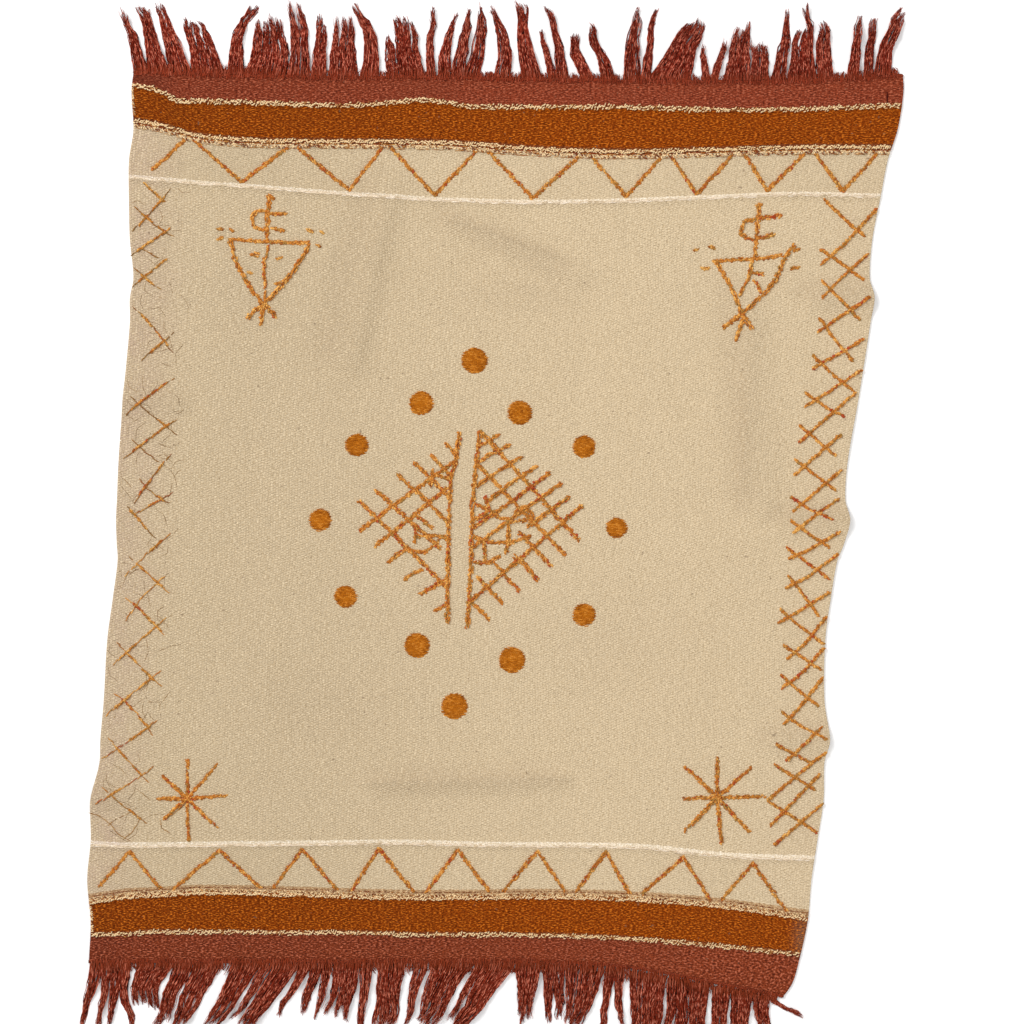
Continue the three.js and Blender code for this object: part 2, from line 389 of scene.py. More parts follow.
def grow(name, guide, tree, sizes):
    # What the tree makes on the guide, as a plain mesh; the guide goes
    modifier = guide.modifiers.new(tree.name, "NODES")
    modifier.node_group = tree
    for item in tree.interface.items_tree:
        if item.in_out == "INPUT" and item.name in sizes:
            modifier[item.identifier] = sizes[item.name]
    depsgraph = bpy.context.evaluated_depsgraph_get()
    evaluated = guide.evaluated_get(depsgraph)
    mesh = bpy.data.meshes.new_from_object(evaluated, preserve_all_data_layers=True, depsgraph=depsgraph)
    guide.modifiers.remove(modifier)
    bpy.data.objects.remove(guide)
    return newPiece(name, mesh)


def sized(sizes, plain=("Slant spread", "Strands", "Steps")):
    # A table's millimetres, in metres; counts and angles stay as they are
    return {label: value if label in plain else value * millimetre for label, value in sizes.items()}


def newPiece(name, mesh):
    mesh.name = name
    piece = bpy.data.objects.new(name, mesh)
    bpy.context.scene.collection.objects.link(piece)
    return piece


def joined(name, pieces):
    with bpy.context.temp_override(active_object=pieces[0], selected_editable_objects=pieces):
        bpy.ops.object.join()
    pieces[0].name = name
    pieces[0].data.name = name
    return pieces[0]


def onRug(piece):
    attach(piece, "root")
    piece.data.calc_loop_triangles()
    print(f"{piece.name}: {len(piece.data.loop_triangles)} triangles")
    return piece


# Colours, as they are in the cloth itself, and a few painted shades and highlights

def colour(red, green, blue):
    # From the usual 0 to 255 to the linear values that a shader takes
    def linear(value):
        share = value / 255
        return share / 12.92 if share <= 0.04045 else ((share + 0.055) / 1.055) ** 2.4
    return (linear(red), linear(green), linear(blue), 1)


dyes = {
    "field": colour(216, 194, 160),
    "fieldShade": colour(184, 160, 124),
    "fieldFleck": colour(224, 203, 169),
    "rust": colour(146, 63, 3),
    "rustShade": colour(74, 26, 0),
    "rustFleck": colour(212, 118, 32),
    "maroon": colour(144, 61, 35),
    "maroonShade": colour(70, 23, 14),
    "maroonFleck": colour(188, 106, 78),
    "lowerMaroon": colour(138, 60, 31),
    "lowerMaroonShade": colour(62, 20, 12),
    "bed": colour(126, 62, 28),
    "bedShade": colour(80, 36, 14),
    "bedFleck": colour(170, 100, 52),
    "paleBed": colour(194, 158, 116),
    "paleBedShade": colour(146, 108, 72),
    "paleBedFleck": colour(222, 190, 148),
    "white": colour(240, 222, 196),
    "whiteShade": colour(206, 186, 152),
    "whiteFleck": colour(252, 240, 222),
    "cream": colour(255, 226, 178),
    "tan": colour(206, 146, 84),
    "olive": colour(118, 88, 46),
    "darkBrown": colour(138, 66, 30),
    "disc": colour(178, 104, 20),
    "discDark": colour(140, 72, 10),
    "discLight": colour(216, 144, 54),
    "fringe": colour(128, 40, 23),
    "fringeShade": colour(42, 8, 4),
    # A pink that is partly the wool's own and partly painted highlight
    "fringePink": colour(226, 130, 104),
    "lowerFringe": colour(127, 42, 22),
    "lowerFringeShade": colour(44, 8, 4),
    "lowerFringePink": colour(214, 124, 98),
    "thread": colour(204, 129, 50),
    "threadRed": colour(176, 76, 42),
    "threadOlive": colour(160, 124, 66),
    "threadYellow": colour(236, 180, 98),
    "threadBrown": colour(152, 86, 38),
    # Real dirt and specks, and also the painted shade beside the folds
    "dirtAndShade": colour(120, 96, 76),
    "slitShade": colour(60, 14, 8),
    "bleed": colour(237, 227, 242),
}


def newMaterial(name, roughness=0.92, sheen=0.02, sheenTint=(1, 0.93, 0.85, 1)):
    material = bpy.data.materials.new(name)
    material.use_nodes = True
    shader = material.node_tree.nodes["Principled BSDF"]
    shader.inputs["Roughness"].default_value = roughness
    shader.inputs["Specular IOR Level"].default_value = 0.06
    shader.inputs["Sheen Weight"].default_value = sheen
    shader.inputs["Sheen Roughness"].default_value = 0.5
    shader.inputs["Sheen Tint"].default_value = sheenTint
    return material, Graph(material.node_tree), shader


def rampOf(graph, share, stops, interpolation="LINEAR"):
    node = graph.add("ShaderNodeValToRGB", {"Fac": share})
    ramp = node.color_ramp
    ramp.interpolation = interpolation
    ramp.elements[0].position, ramp.elements[0].color = stops[0]
    ramp.elements[1].position, ramp.elements[1].color = stops[-1]
    for position, tone in stops[1:-1]:
        ramp.elements.new(position).color = tone
    return node.outputs["Color"]


def blendColours(graph, share, a, b, kind="MIX"):
    inputs = {"Factor": share, 6: a, 7: b}
    return graph.add("ShaderNodeMix", inputs, data_type="RGBA", blend_type=kind).outputs[2]


def bumped(graph, shader, height, distance, strength=1.0):
    inputs = {"Height": height, "Distance": distance, "Strength": strength}
    bump = graph.add("ShaderNodeBump", inputs)
    graph.tree.links.new(bump.outputs[0], shader.inputs["Normal"])


# The cloth

weave = {
    "weftPitch": 2.9 * millimetre,  # two picks, which show as one grain
    "warpPitch": 3.1 * millimetre,
    "wobbleScale": 55.0,
    "warpWobble": 1.6,  # in warps
    "pickWobble": 1.1,  # in picks
    "grainSquareness": 0.45,
    "grainHeight": 0.8 * millimetre,
    "streakHeight": 1.5,  # this and the next as shares of the grain's height
    "fuzzHeight": 0.5,
    "fuzzScale": 2200.0,
    "grainMiddle": 0.62,
    # Painted shade in the hollows between the weave's grains
    "recessShade": 0.22,
    "eachContrast": 0.16,
    "streakContrast": 1.0,
    "streakStretch": 0.22,
    "yarnScale": 820.0,
    "patchContrast": 0.16,
    "patchScale": 22.0,
    "shade": 0.19,
    "bandWander": 3.0 * millimetre,  # of the line between two bands
    "wanderScale": 260.0,
    "bleedScale": 60.0,
    "bleedLeast": 0.05,
    "dirtShade": 0.7,
    "foldShade": 0.3,
    # Darker towards the left, for no known cause
    "age": 0.17,  # how much darker the left side is
    "dashStretch": 0.38,
    "fleck": {"from": 0.54, "to": 0.66, "strength": 0.8},  # brighter dashes
    "gap": {"from": 0.47, "to": 0.34, "strength": 0.75},  # darker ones
    "speck": {"from": 0.82, "to": 0.86, "strength": 0.5},
    "speckScale": 210.0,
}


def nominal(heights):
    return float(rowHeight(heights, 0.5))


def clothLines():
    # Lines across the cloth from the bottom hem to the top one: their heights, how far they are
    # shifted from them, and how far they stand out
    edge = hemStripDepth + partingGap
    low, high = np.array(bottomHem, float), np.array(topHem, float)
    lines = [{"heights": low, "shift": edge + step, "rise": 0} for step in cloth["edgeSteps"]]

    def fillTo(heights, shift):
        first = lines[-1]["heights"] + lines[-1]["shift"]
        last = heights + shift
        count = max(2, round(nominal(last - first) / cloth["lineStep"]))
        for i in range(1, count):
            lines.append({"heights": mix(first, last, i / count), "shift": 0, "rise": 0})

    for row in raisedRows:
        halfRow = rowHalfWidths[row["kind"]]
        heights = np.array(row["heights"], float)
        profile = np.array(rowProfiles[row["kind"]])
        fillTo(heights, -halfRow)
        for share in np.linspace(-1, 1, rowLineCounts[row["kind"]]):
            rise = float(np.interp(share, profile[:, 0], profile[:, 1]))
            lines.append({"heights": heights, "shift": share * halfRow, "rise": rise})
    steps = cloth["edgeSteps"][::-1]
    fillTo(high, -edge - steps[0])
    lines += [{"heights": high, "shift": -edge - step, "rise": 0} for step in steps]
    return lines


def makeCloth(material):
    lines = clothLines()
    half = cloth["thickness"] / 2
    edge = np.array(cloth["edgeSteps"]) / cloth["nominalWidth"]
    across = np.concatenate([edge, np.linspace(0, 1, cloth["columns"])[2:-2], 1 - edge[::-1]])
    rows = len(lines)
    columns = len(across)
    y = np.array([rowHeight(line["heights"], across) + line["shift"] for line in lines])
    x = acrossX(across[None, :], y)
    rise = np.array([line["rise"] for line in lines])[:, None]
    nominalY = np.array([nominal(line["heights"]) + line["shift"] for line in lines])
    fromSide = np.minimum(across, 1 - across)[None, :] * cloth["nominalWidth"]
    fromHem = np.minimum(nominalY - nominalY[0], nominalY[-1] - nominalY)[:, None]
    inside = np.clip(np.minimum(fromSide, fromHem) / half, 0, 1)
    swell = half * np.sqrt(1 - (1 - inside) ** 2)
    middle = lift(x, y) + half
    top = inFrame(x, y, middle + swell + rise * inside)
    under = inFrame(x, y, middle - swell)

    index = np.arange(rows * columns).reshape(rows, columns)
    underIndex = index.copy()
    underIndex[1:-1, 1:-1] = rows * columns + np.arange((rows - 2) * (columns - 2)).reshape(rows - 2, -1)
    points = np.concatenate([top.reshape(-1, 3), under[1:-1, 1:-1].reshape(-1, 3)])

    def quads(grid):
        return np.stack([grid[:-1, :-1], grid[:-1, 1:], grid[1:, 1:], grid[1:, :-1]], -1).reshape(-1, 4)

    faces = np.concatenate([quads(index), quads(underIndex)[:, ::-1]])
    mesh = bpy.data.meshes.new("rugCloth")
    mesh.from_pydata(points.tolist(), [], faces.tolist())
    mesh.shade_smooth()
    mesh.materials.append(material)

    measure = np.stack(np.broadcast_arrays(across[None, :] * cloth["nominalWidth"], nominalY[:, None]), -1)
    measure = measure.reshape(-1, 2) * millimetre
    measure = np.concatenate([measure, measure.reshape(rows, columns, 2)[1:-1, 1:-1].reshape(-1, 2)])
    corners = np.array([loop.vertex_index for loop in mesh.loops])
    layer = mesh.uv_layers.new(name="weave")
    layer.data.foreach_set("uv", measure[corners].astype(np.float32).ravel())

    flatX = np.concatenate([x.ravel(), x[1:-1, 1:-1].ravel()])
    flatY = np.concatenate([y.ravel(), y[1:-1, 1:-1].ravel()])
    marks = mesh.attributes.new("marks", "FLOAT_COLOR", "POINT")
    marks.data.foreach_set("color", clothMarks(flatX, flatY).astype(np.float32).ravel())
    # Darker towards the left
    leftDarkening = mesh.attributes.new("leftDarkening", "FLOAT", "POINT")
    age = softStep((markLayout["darkerFrom"] - flatX) / markLayout["leftRamp"])
    leftDarkening.data.foreach_set("value", age.astype(np.float32))
    return newPiece("rug_cloth_woven", mesh)


# Where the cloth is tinted or worn: a place, how far the mark reaches and how strong it is
wearSpots = table(["x", "y", "reachX", "reachY", "strength"], [
    [333, -481, 9, 20, 0.8],
    [330, -500, 8, 12, 0.4],
    [-300, 250, 60, 40, 0.12],
    [120, -150, 90, 70, 0.10],
    [-200, -220, 80, 50, 0.10],
    [10, 250, 70, 22, 0.14],
])


markLayout = {
    "darkerFrom": 150,  # the cloth darkens from here to the left
    "leftRamp": 500,
    "bleedEdge": 14,  # run dye is full as far as this from a selvedge, and then fades
    "bleedReach": 36,
    "bleedRight": 0.1,  # its strength on the right, as a share of that on the left
    "bleedFrom": 200,
    "foldHeight": 8,  # of a fold whose shade is full
}


def clothMarks(x, y):
    # Red: dye that has run near the sides. Green: wear and dirt. Blue: painted shade beside the folds.
    side = np.minimum(x - leftEdge(y), rightEdge(y) - x)
    faded = np.exp(-(np.maximum(side - markLayout["bleedEdge"], 0) / markLayout["bleedReach"]) ** 2)
    tint = faded * (0.75 + 0.5 * softWaves(x, y, 9, 40, 120))
    leftShare = softStep((markLayout["bleedFrom"] - x) / markLayout["leftRamp"])
    tint = tint * mix(markLayout["bleedRight"], 1, leftShare)
    wear = np.zeros_like(x)
    for spot in wearSpots:
        reach = ((x - spot["x"]) / spot["reachX"]) ** 2 + ((y - spot["y"]) / spot["reachY"]) ** 2
        wear += spot["strength"] * np.exp(-reach)
    shade = np.zeros_like(x)
    for fold in folds + creases:
        # The painted shade lies beside the fold, away from the light
        away = fold["halfWidth"]
        shade += ridge(fold, x + away * 0.5, y - away * 0.35) / markLayout["foldHeight"]
    marks = [np.clip(mark, 0, 1) for mark in (tint, wear, shade)]
    return np.stack(marks + [np.ones_like(x)], -1)


def weaveHeight(graph, across, along):
    # Weft grains in brick order: each is one pick over one warp
    place = graph.combine(across, along, 0.0)
    wobble = graph.add("ShaderNodeSeparateXYZ", {0: graph.noise(place, weave["wobbleScale"], 2.0, "Color")})
    warp = graph.calc("DIVIDE", across, weave["warpPitch"])
    warp = graph.plus(warp, graph.times(wobble.outputs[0], weave["warpWobble"]))
    columnIndex = graph.calc("FLOOR", warp)
    halfDrop = graph.times(graph.calc("FLOORED_MODULO", columnIndex, 2.0), 0.5)
    pick = graph.plus(graph.calc("DIVIDE", along, weave["weftPitch"]), halfDrop)
    pick = graph.plus(pick, graph.times(wobble.outputs[1], weave["pickWobble"]))
    overPick = graph.calc("SINE", graph.times(graph.calc("FRACT", pick), math.pi))
    overWarp = graph.calc("SINE", graph.times(graph.calc("FRACT", warp), math.pi))
    grain = graph.times(overPick, graph.calc("POWER", overWarp, weave["grainSquareness"]))
    cell = graph.combine(columnIndex, graph.calc("FLOOR", pick), 0.0)
    each = graph.add("ShaderNodeTexWhiteNoise", {"Vector": cell}).outputs["Value"]
    return grain, each


bands = table(["row", "reach", "bed", "above"], [
    ["lowerTwined", 2.8, "bed", "rust"],
    ["lowerDouble", 3.3, "paleBed", "field"],
    ["lowerWhite", 2.2, "white", "field"],
    ["upperWhite", 2.2, "white", "field"],
    ["upperDouble", 4.6, "bed", "rust"],
    ["upperTwined", 2.0, "bed", "maroon"],
])


def bandRamp(graph, level, bottom, top, suffix, first):
    # One colour for each band along the rug, and for the weft rows that part them
    def share(row, shift):
        return (nominal(rowNamed[row]["heights"]) + shift - bottom) / (top - bottom)

    stops = [(0.0, dyes[first])]
    for band in bands:
        stops.append((share(band["row"], -band["reach"]), dyes[band["bed"] + suffix]))
        stops.append((share(band["row"], band["reach"]), dyes[band["above"] + suffix]))
    stops.append((1.0, stops[-1][1]))
    return rampOf(graph, level, stops, "CONSTANT")


# Painted shade: a dark line where a short split parts the top band
slitShade = {"x": 431.0, "y": 476.0, "reachX": 1.1, "reachY": 9.5}  # a short split in the top band


def slitShadeShare(graph, place):
    # One inside the slit's painted shade and nought beyond it
    centre = (planToFrame[0] + slitShade["x"] * millimetre, planToFrame[1] + slitShade["y"] * millimetre, 0.0)
    away = graph.vector("SUBTRACT", place, centre)
    size = (1 / (slitShade["reachX"] * millimetre), 1 / (slitShade["reachY"] * millimetre), 0.0)
    away = graph.vector("MULTIPLY", away, size)
    length = graph.add("ShaderNodeVectorMath", {0: away}, operation="LENGTH").outputs["Value"]
    return graph.ranged(length, 1.0, 0.6)


def clothMaterial():
    material, graph, shader = newMaterial("Handwoven wool")
    measure = graph.add("ShaderNodeSeparateXYZ", {0: graph.add("ShaderNodeUVMap", uv_map="weave")})
    across, along = measure.outputs[0], measure.outputs[1]
    place = graph.onPiece()
    grain, each = weaveHeight(graph, across, along)

    bottom, top = nominal(bottomHem), nominal(topHem)
    level = graph.minus(along, bottom * millimetre)
    wander = graph.centred(place, weave["wanderScale"])
    level = graph.plus(level, graph.times(wander, weave["bandWander"]))
    level = graph.calc("DIVIDE", level, (top - bottom) * millimetre)
    light = bandRamp(graph, level, bottom, top, "", "lowerMaroon")
    dark = bandRamp(graph, level, bottom, top, "Shade", "lowerMaroonShade")

    # Painted shade: the cloth is darker where the weave sinks between its grains. Yarn is also streaked
    # along the weft, and no two grains are quite alike
    streaked = graph.combine(graph.times(across, weave["streakStretch"]), along, 0.0)
    streak = graph.centred(streaked, weave["yarnScale"], 3.0)
    patches = graph.centred(place, weave["patchScale"], 1.0)
    share = graph.times(graph.minus(weave["grainMiddle"], grain), weave["recessShade"])
    for value, label in ((graph.minus(each, 0.5), "each"), (streak, "streak"), (patches, "patch")):
        share = graph.plus(share, graph.times(value, weave[label + "Contrast"]))
    share = graph.add("ShaderNodeClamp", {"Value": graph.plus(share, weave["shade"])}).outputs[0]
    tone = blendColours(graph, share, light, dark)

    marks = graph.add("ShaderNodeVertexColor", layer_name="marks").outputs["Color"]
    mark = graph.add("ShaderNodeSeparateColor", {"Color": marks}).outputs
    bleed = graph.plus(graph.noise(place, weave["bleedScale"], 3.0), weave["bleedLeast"])
    bleed = graph.times(mark[0], bleed)
    tinted = blendColours(graph, 1.0, tone, dyes["bleed"], "MULTIPLY")
    tone = blendColours(graph, bleed, tone, tinted)
    tone = blendColours(graph, graph.times(mark[1], weave["dirtShade"]), tone, dyes["dirtAndShade"])
    # Painted shade beside the folds, in the same colour as the dirt
    tone = blendColours(graph, graph.times(mark[2], weave["foldShade"]), tone, dyes["dirtAndShade"])
    # Darker towards the left
    tone = blendColours(graph, graph.times(graph.fromMesh("leftDarkening"), weave["age"]), tone, (0, 0, 0, 1))

    # Short dashes of brighter and of darker yarn, and a few dark specks
    dashed = graph.combine(graph.times(across, weave["dashStretch"]), along, 0.0)
    yarnTone = graph.noise(dashed, weave["yarnScale"], 1.0)
    specks = graph.noise(place, weave["speckScale"], 0.0)
    brighter = bandRamp(graph, level, bottom, top, "Fleck", "maroonFleck")
    for kind, value, dye in (("fleck", yarnTone, brighter), ("gap", yarnTone, dark),
                             ("speck", specks, dyes["dirtAndShade"])):
        share = graph.ranged(value, weave[kind]["from"], weave[kind]["to"])
        tone = blendColours(graph, graph.times(share, weave[kind]["strength"]), tone, dye)
    # Painted shade along the split in the top band
    tone = blendColours(graph, slitShadeShare(graph, place), tone, dyes["slitShade"])
    graph.tree.links.new(tone, shader.inputs["Base Color"])

    height = graph.plus(grain, graph.times(streak, weave["streakHeight"]))
    fuzz = graph.noise(place, weave["fuzzScale"])
    height = graph.plus(height, graph.times(fuzz, weave["fuzzHeight"]))
    bumped(graph, shader, height, weave["grainHeight"])
    return material


# Yarn: one or more strands that wind round a line

hemYarn = {"Strand radius": 1.7, "Wind": 0.9, "Turn length": 9.0, "Step": 2.2, "Unevenness": 0.5}
hemRopePlace = {"inwards": 5.6, "height": 1.9}  # from a hem, and over the floor
yarnLook = {
    "driftScale": 42.0,
    "drift": 9.0,  # in turns
    "shakeScale": 260.0,
    "fullnessScale": 190.0,
    "thinnest": 0.72,
    "fullest": 1.25,
    "twist": 2.4 * millimetre,
    "plies": 3.0,
    "fibreShade": 0.16,
    "fineShade": 0.5,
    "fineScale": 1500.0,
    "blotchShade": 0.9,
    "blotchScale": 170.0,
    "shadeFrom": 0.42,
    "grooveHeight": 0.35,
    "bump": 0.35 * millimetre,
    "bumpStrength": 0.8,
}


def yarnTree():
    graph = GeometryGraph("Wound yarn", {
        "Strands": ("NodeSocketInt", 2),
        "Sides": ("NodeSocketInt", 5),
        "Strand radius": ("NodeSocketFloat", 0.0015),
        "Wind": ("NodeSocketFloat", 0.0013),
        "Turn length": ("NodeSocketFloat", 0.009),
        "Step": ("NodeSocketFloat", 0.0011),
        "Flatness": ("NodeSocketFloat", 0.6),
        "Unevenness": ("NodeSocketFloat", 0.0005),
        "Seed": ("NodeSocketInt", 1),
        "Material": ("NodeSocketMaterial", None),
    })
    given = graph.given
    lines = graph.add("GeometryNodeMeshToCurve", {0: given["Geometry"]})
    even = graph.add("GeometryNodeResampleCurve", {0: lines, "Length": given["Step"]}, mode="LENGTH")
    inputs = {0: even, "Amount": given["Strands"]}
    copies = graph.add("GeometryNodeDuplicateElements", inputs, domain="SPLINE")
    strands = graph.store(copies.outputs[0], "ply", copies.outputs[1], "CURVE")
    walked = graph.add("GeometryNodeSplineParameter").outputs["Length"]
    where = graph.add("GeometryNodeInputPosition").outputs[0]
    drift = graph.times(graph.noise(where, yarnLook["driftScale"], 1.0), yarnLook["drift"])
    turns = graph.plus(graph.calc("DIVIDE", walked, given["Turn length"]), drift)
    share = graph.calc("DIVIDE", graph.attribute("ply"), given["Strands"])
    turns = graph.plus(graph.times(turns, graph.attribute("hand")), share)
    angle = graph.times(turns, 2 * math.pi)
    tangent = graph.add("GeometryNodeInputTangent").outputs[0]
    side = graph.sideways(tangent)
    out = graph.times(graph.calc("COSINE", angle), given["Wind"])
    rise = graph.times(graph.calc("SINE", angle), given["Wind"])
    rise = graph.times(rise, given["Flatness"])
    shaken = graph.noise(where, yarnLook["shakeScale"], 1.0, "Color")
    shake = graph.scaled(graph.vector("SUBTRACT", shaken, (0.5, 0.5, 0.5)), given["Unevenness"])
    offset = graph.vector("ADD", graph.scaled(side, out), graph.combine(0.0, 0.0, rise))
    offset = graph.vector("ADD", offset, shake)
    wound = graph.add("GeometryNodeSetPosition", {"Geometry": strands, "Offset": offset})
    fullness = graph.noise(where, yarnLook["fullnessScale"], 1.0)
    fullness = graph.blend(fullness, yarnLook["thinnest"], yarnLook["fullest"])
    thick = graph.times(fullness, given["Strand radius"])
    ready = graph.add("GeometryNodeSetCurveRadius", {0: wound, "Radius": thick})
    ready = graph.store(ready.outputs[0], "walked", walked, "POINT")
    radius = graph.add("GeometryNodeInputRadius").outputs[0]
    return graph.finish(graph.tube(ready, given["Sides"], radius))


def yarnMaterial(name, light, dark):
    # Plied yarn: painted light on its crown and painted shade in its grooves, over random darker fibres and
    # blotches
    material, graph, shader = newMaterial(name, sheen=0.05)
    place = graph.onPiece()
    turn = graph.calc("DIVIDE", graph.fromMesh("walked"), yarnLook["twist"])
    turn = graph.plus(turn, graph.times(graph.fromMesh("around"), yarnLook["plies"]))
    fibres = graph.calc("SINE", graph.times(turn, 2 * math.pi))
    fine = graph.noise(place, yarnLook["fineScale"])
    share = graph.times(fibres, yarnLook["fibreShade"])
    share = graph.plus(share, graph.times(fine, yarnLook["fineShade"]))
    blotch = graph.noise(place, yarnLook["blotchScale"], 3.0)
    share = graph.plus(share, graph.times(blotch, yarnLook["blotchShade"]))
    tone = blendColours(graph, graph.ranged(share, yarnLook["shadeFrom"], 1.0), light, dark)
    graph.tree.links.new(tone, shader.inputs["Base Color"])
    height = graph.plus(graph.times(fibres, yarnLook["grooveHeight"]), fine)
    bumped(graph, shader, height, yarnLook["bump"], yarnLook["bumpStrength"])
    return material


def hemLine(heights, shift, height, count=200):
    # A line along a hem, shifted from it, at a height over the floor
    across = np.linspace(0, 1, count)
    y = rowHeight(heights, across) + shift
    x = acrossX(across, y)
    return inFrame(x, y, lift(x, y) + height)


def hemRope(name, line, tree, material, seed):
    sizes = dict(sized(hemYarn), Seed=seed, Material=material)
    return grow(name, guideLines(name, [line], {"hand": [np.ones(len(line))]}), tree, sizes)


# Stitches: short bent strands along a stroke, three abreast

stitchShape = {
    "room": 0.27,  # how far from the stroke's line a stitch may lie, as a share of its width
    "lane": 0.52,  # between two that lie abreast, as a share of the room
    "stray": 0.6,
    "depth": -0.35,  # of a stitch's ends, in thicknesses
    "crown": 2.0,  # of its bend, in heights
    "endThickness": 0.55,
    "lengths": (0.7, 1.2),
    "widths": (0.75, 1.2),
    "heights": (0.7, 1.3),
}


def stitchTree():
    graph = GeometryGraph("Stitches", {
        "Spacing": ("NodeSocketFloat", 0.0016),
        "Length": ("NodeSocketFloat", 0.008),
        "Thickness": ("NodeSocketFloat", 0.0017),
        "Height": ("NodeSocketFloat", 0.0012),
        "Slant spread": ("NodeSocketFloat", 0.32),
        "Sides": ("NodeSocketInt", 3),
        "Seed": ("NodeSocketInt", 1),
        "Material": ("NodeSocketMaterial", None),
    })
    given = graph.given
    lines = graph.add("GeometryNodeMeshToCurve", {0: given["Geometry"]})
    inputs = {0: lines, "Length": given["Spacing"]}
    points = graph.add("GeometryNodeCurveToPoints", inputs, mode="LENGTH").outputs
    tangent = points["Tangent"]
    gone = graph.calc("GREATER_THAN", graph.chance(0.0, 1.0), graph.attribute("presence"))
    kept = graph.add("GeometryNodeDeleteGeometry", {0: points[0], "Selection": gone}, domain="POINT")
    index = graph.add("GeometryNodeInputIndex").outputs[0]
    abreast = graph.minus(graph.calc("FLOORED_MODULO", index, 3.0), 1.0)
    stray = stitchShape["stray"]
    aside = graph.plus(graph.times(abreast, stitchShape["lane"]), graph.chance(-stray, stray))
    aside = graph.times(aside, graph.times(graph.attribute("width"), stitchShape["room"]))
    offset = graph.scaled(graph.sideways(tangent), aside)
    laid = graph.add("GeometryNodeSetPosition", {"Geometry": kept, "Offset": offset})
    inputs = {"Vector": tangent}
    facing = graph.add("FunctionNodeAlignRotationToVector", inputs, axis="X", pivot_axis="AUTO")
    turn = graph.times(graph.chance(-1.0, 1.0), given["Slant spread"])
    turn = graph.plus(turn, graph.attribute("slant"))
    spin = graph.add("FunctionNodeEulerToRotation", {0: graph.combine(0.0, 0.0, turn)})
    inputs = {"Rotation": facing, "Rotate By": spin}
    turned = graph.add("FunctionNodeRotateRotation", inputs, rotation_space="LOCAL")

    half = graph.times(given["Length"], 0.5)
    deep = graph.times(given["Thickness"], stitchShape["depth"])
    bow = graph.add("GeometryNodeCurveQuadraticBezier", {
        "Resolution": 3,
        "Start": graph.combine(graph.times(half, -1.0), 0.0, deep),
        "Middle": graph.combine(0.0, 0.0, graph.times(given["Height"], stitchShape["crown"])),
        "End": graph.combine(half, 0.0, deep),
    })
    factor = graph.add("GeometryNodeSplineParameter").outputs["Factor"]
    belly = graph.calc("SINE", graph.times(factor, math.pi))
    thick = graph.blend(belly, stitchShape["endThickness"], 1.0)
    thick = graph.times(thick, graph.times(given["Thickness"], 0.5))
    bow = graph.store(bow.outputs[0], "walked", factor, "POINT")
    stitch = graph.tube(bow, given["Sides"], thick)

    fine = graph.attribute("fine")
    size = graph.combine(graph.chance(*stitchShape["lengths"]),
                         graph.times(graph.chance(*stitchShape["widths"]), fine),
                         graph.times(graph.chance(*stitchShape["heights"]), fine))
    placed = graph.add("GeometryNodeInstanceOnPoints", {
        "Points": laid, "Instance": stitch, "Rotation": turned.outputs[0], "Scale": size,
    })
    toned = graph.store(placed.outputs[0], "shade", graph.chance(0.0, 1.0), "INSTANCE")
    return graph.finish(toned)


# The wools: each stitch has its own tone, round the dye of its stroke. Spread is how far the tones
# of two stitches differ, and patchSpread how far those of two places do.

woolTones = {
    "thread": {
        "name": "Embroidery wool",
        "spread": 0.85,
        "patchScale": 52.0,
        "patchSpread": 0.9,
        "stops": [(0.00, "threadRed"), (0.16, "thread"), (0.32, "threadYellow"), (0.44, "thread"),
                  (0.56, "threadBrown"), (0.66, "thread"), (0.78, "threadOlive"), (0.88, "thread"),
                  (1.00, "threadYellow")],
    },
    "cream": {
        "name": "Cream wool",
        "spread": 0.8,
        "patchScale": 60.0,
        "patchSpread": 0.5,
        "stops": [(0.00, "cream"), (0.52, "cream"), (0.66, "tan"), (0.84, "bed"), (1.00, "darkBrown")],
    },
    "white": {
        "name": "White wool",
        "spread": 0.8,
        "patchScale": 40.0,
        "patchSpread": 0.8,
        "stops": [(0.00, "whiteFleck"), (0.50, "white"), (1.00, "whiteShade")],
    },
    "disc": {
        "name": "Disc wool",
        "spread": 1.0,
        "patchScale": 90.0,
        "patchSpread": 0.8,
        "stops": [(0.00, "discDark"), (0.30, "disc"), (0.70, "disc"), (1.00, "discLight")],
    },
}
woolGrain = {
    "turns": 4.0,  # of the fibres along a stitch
    "plies": 2.0,
    "fibreShade": 0.14,
    "fineScale": 1400.0,
    "shadeFrom": 0.38,
    "shadeTo": 0.95,
    "shade": (0.60, 0.48, 0.38, 1),
    "ageShade": 0.6,
    "fibreHeight": 0.3,
    "bump": 0.3 * millimetre,
    "bumpStrength": 0.8,
    "sheenTint": (1, 0.85, 0.6, 1),
}


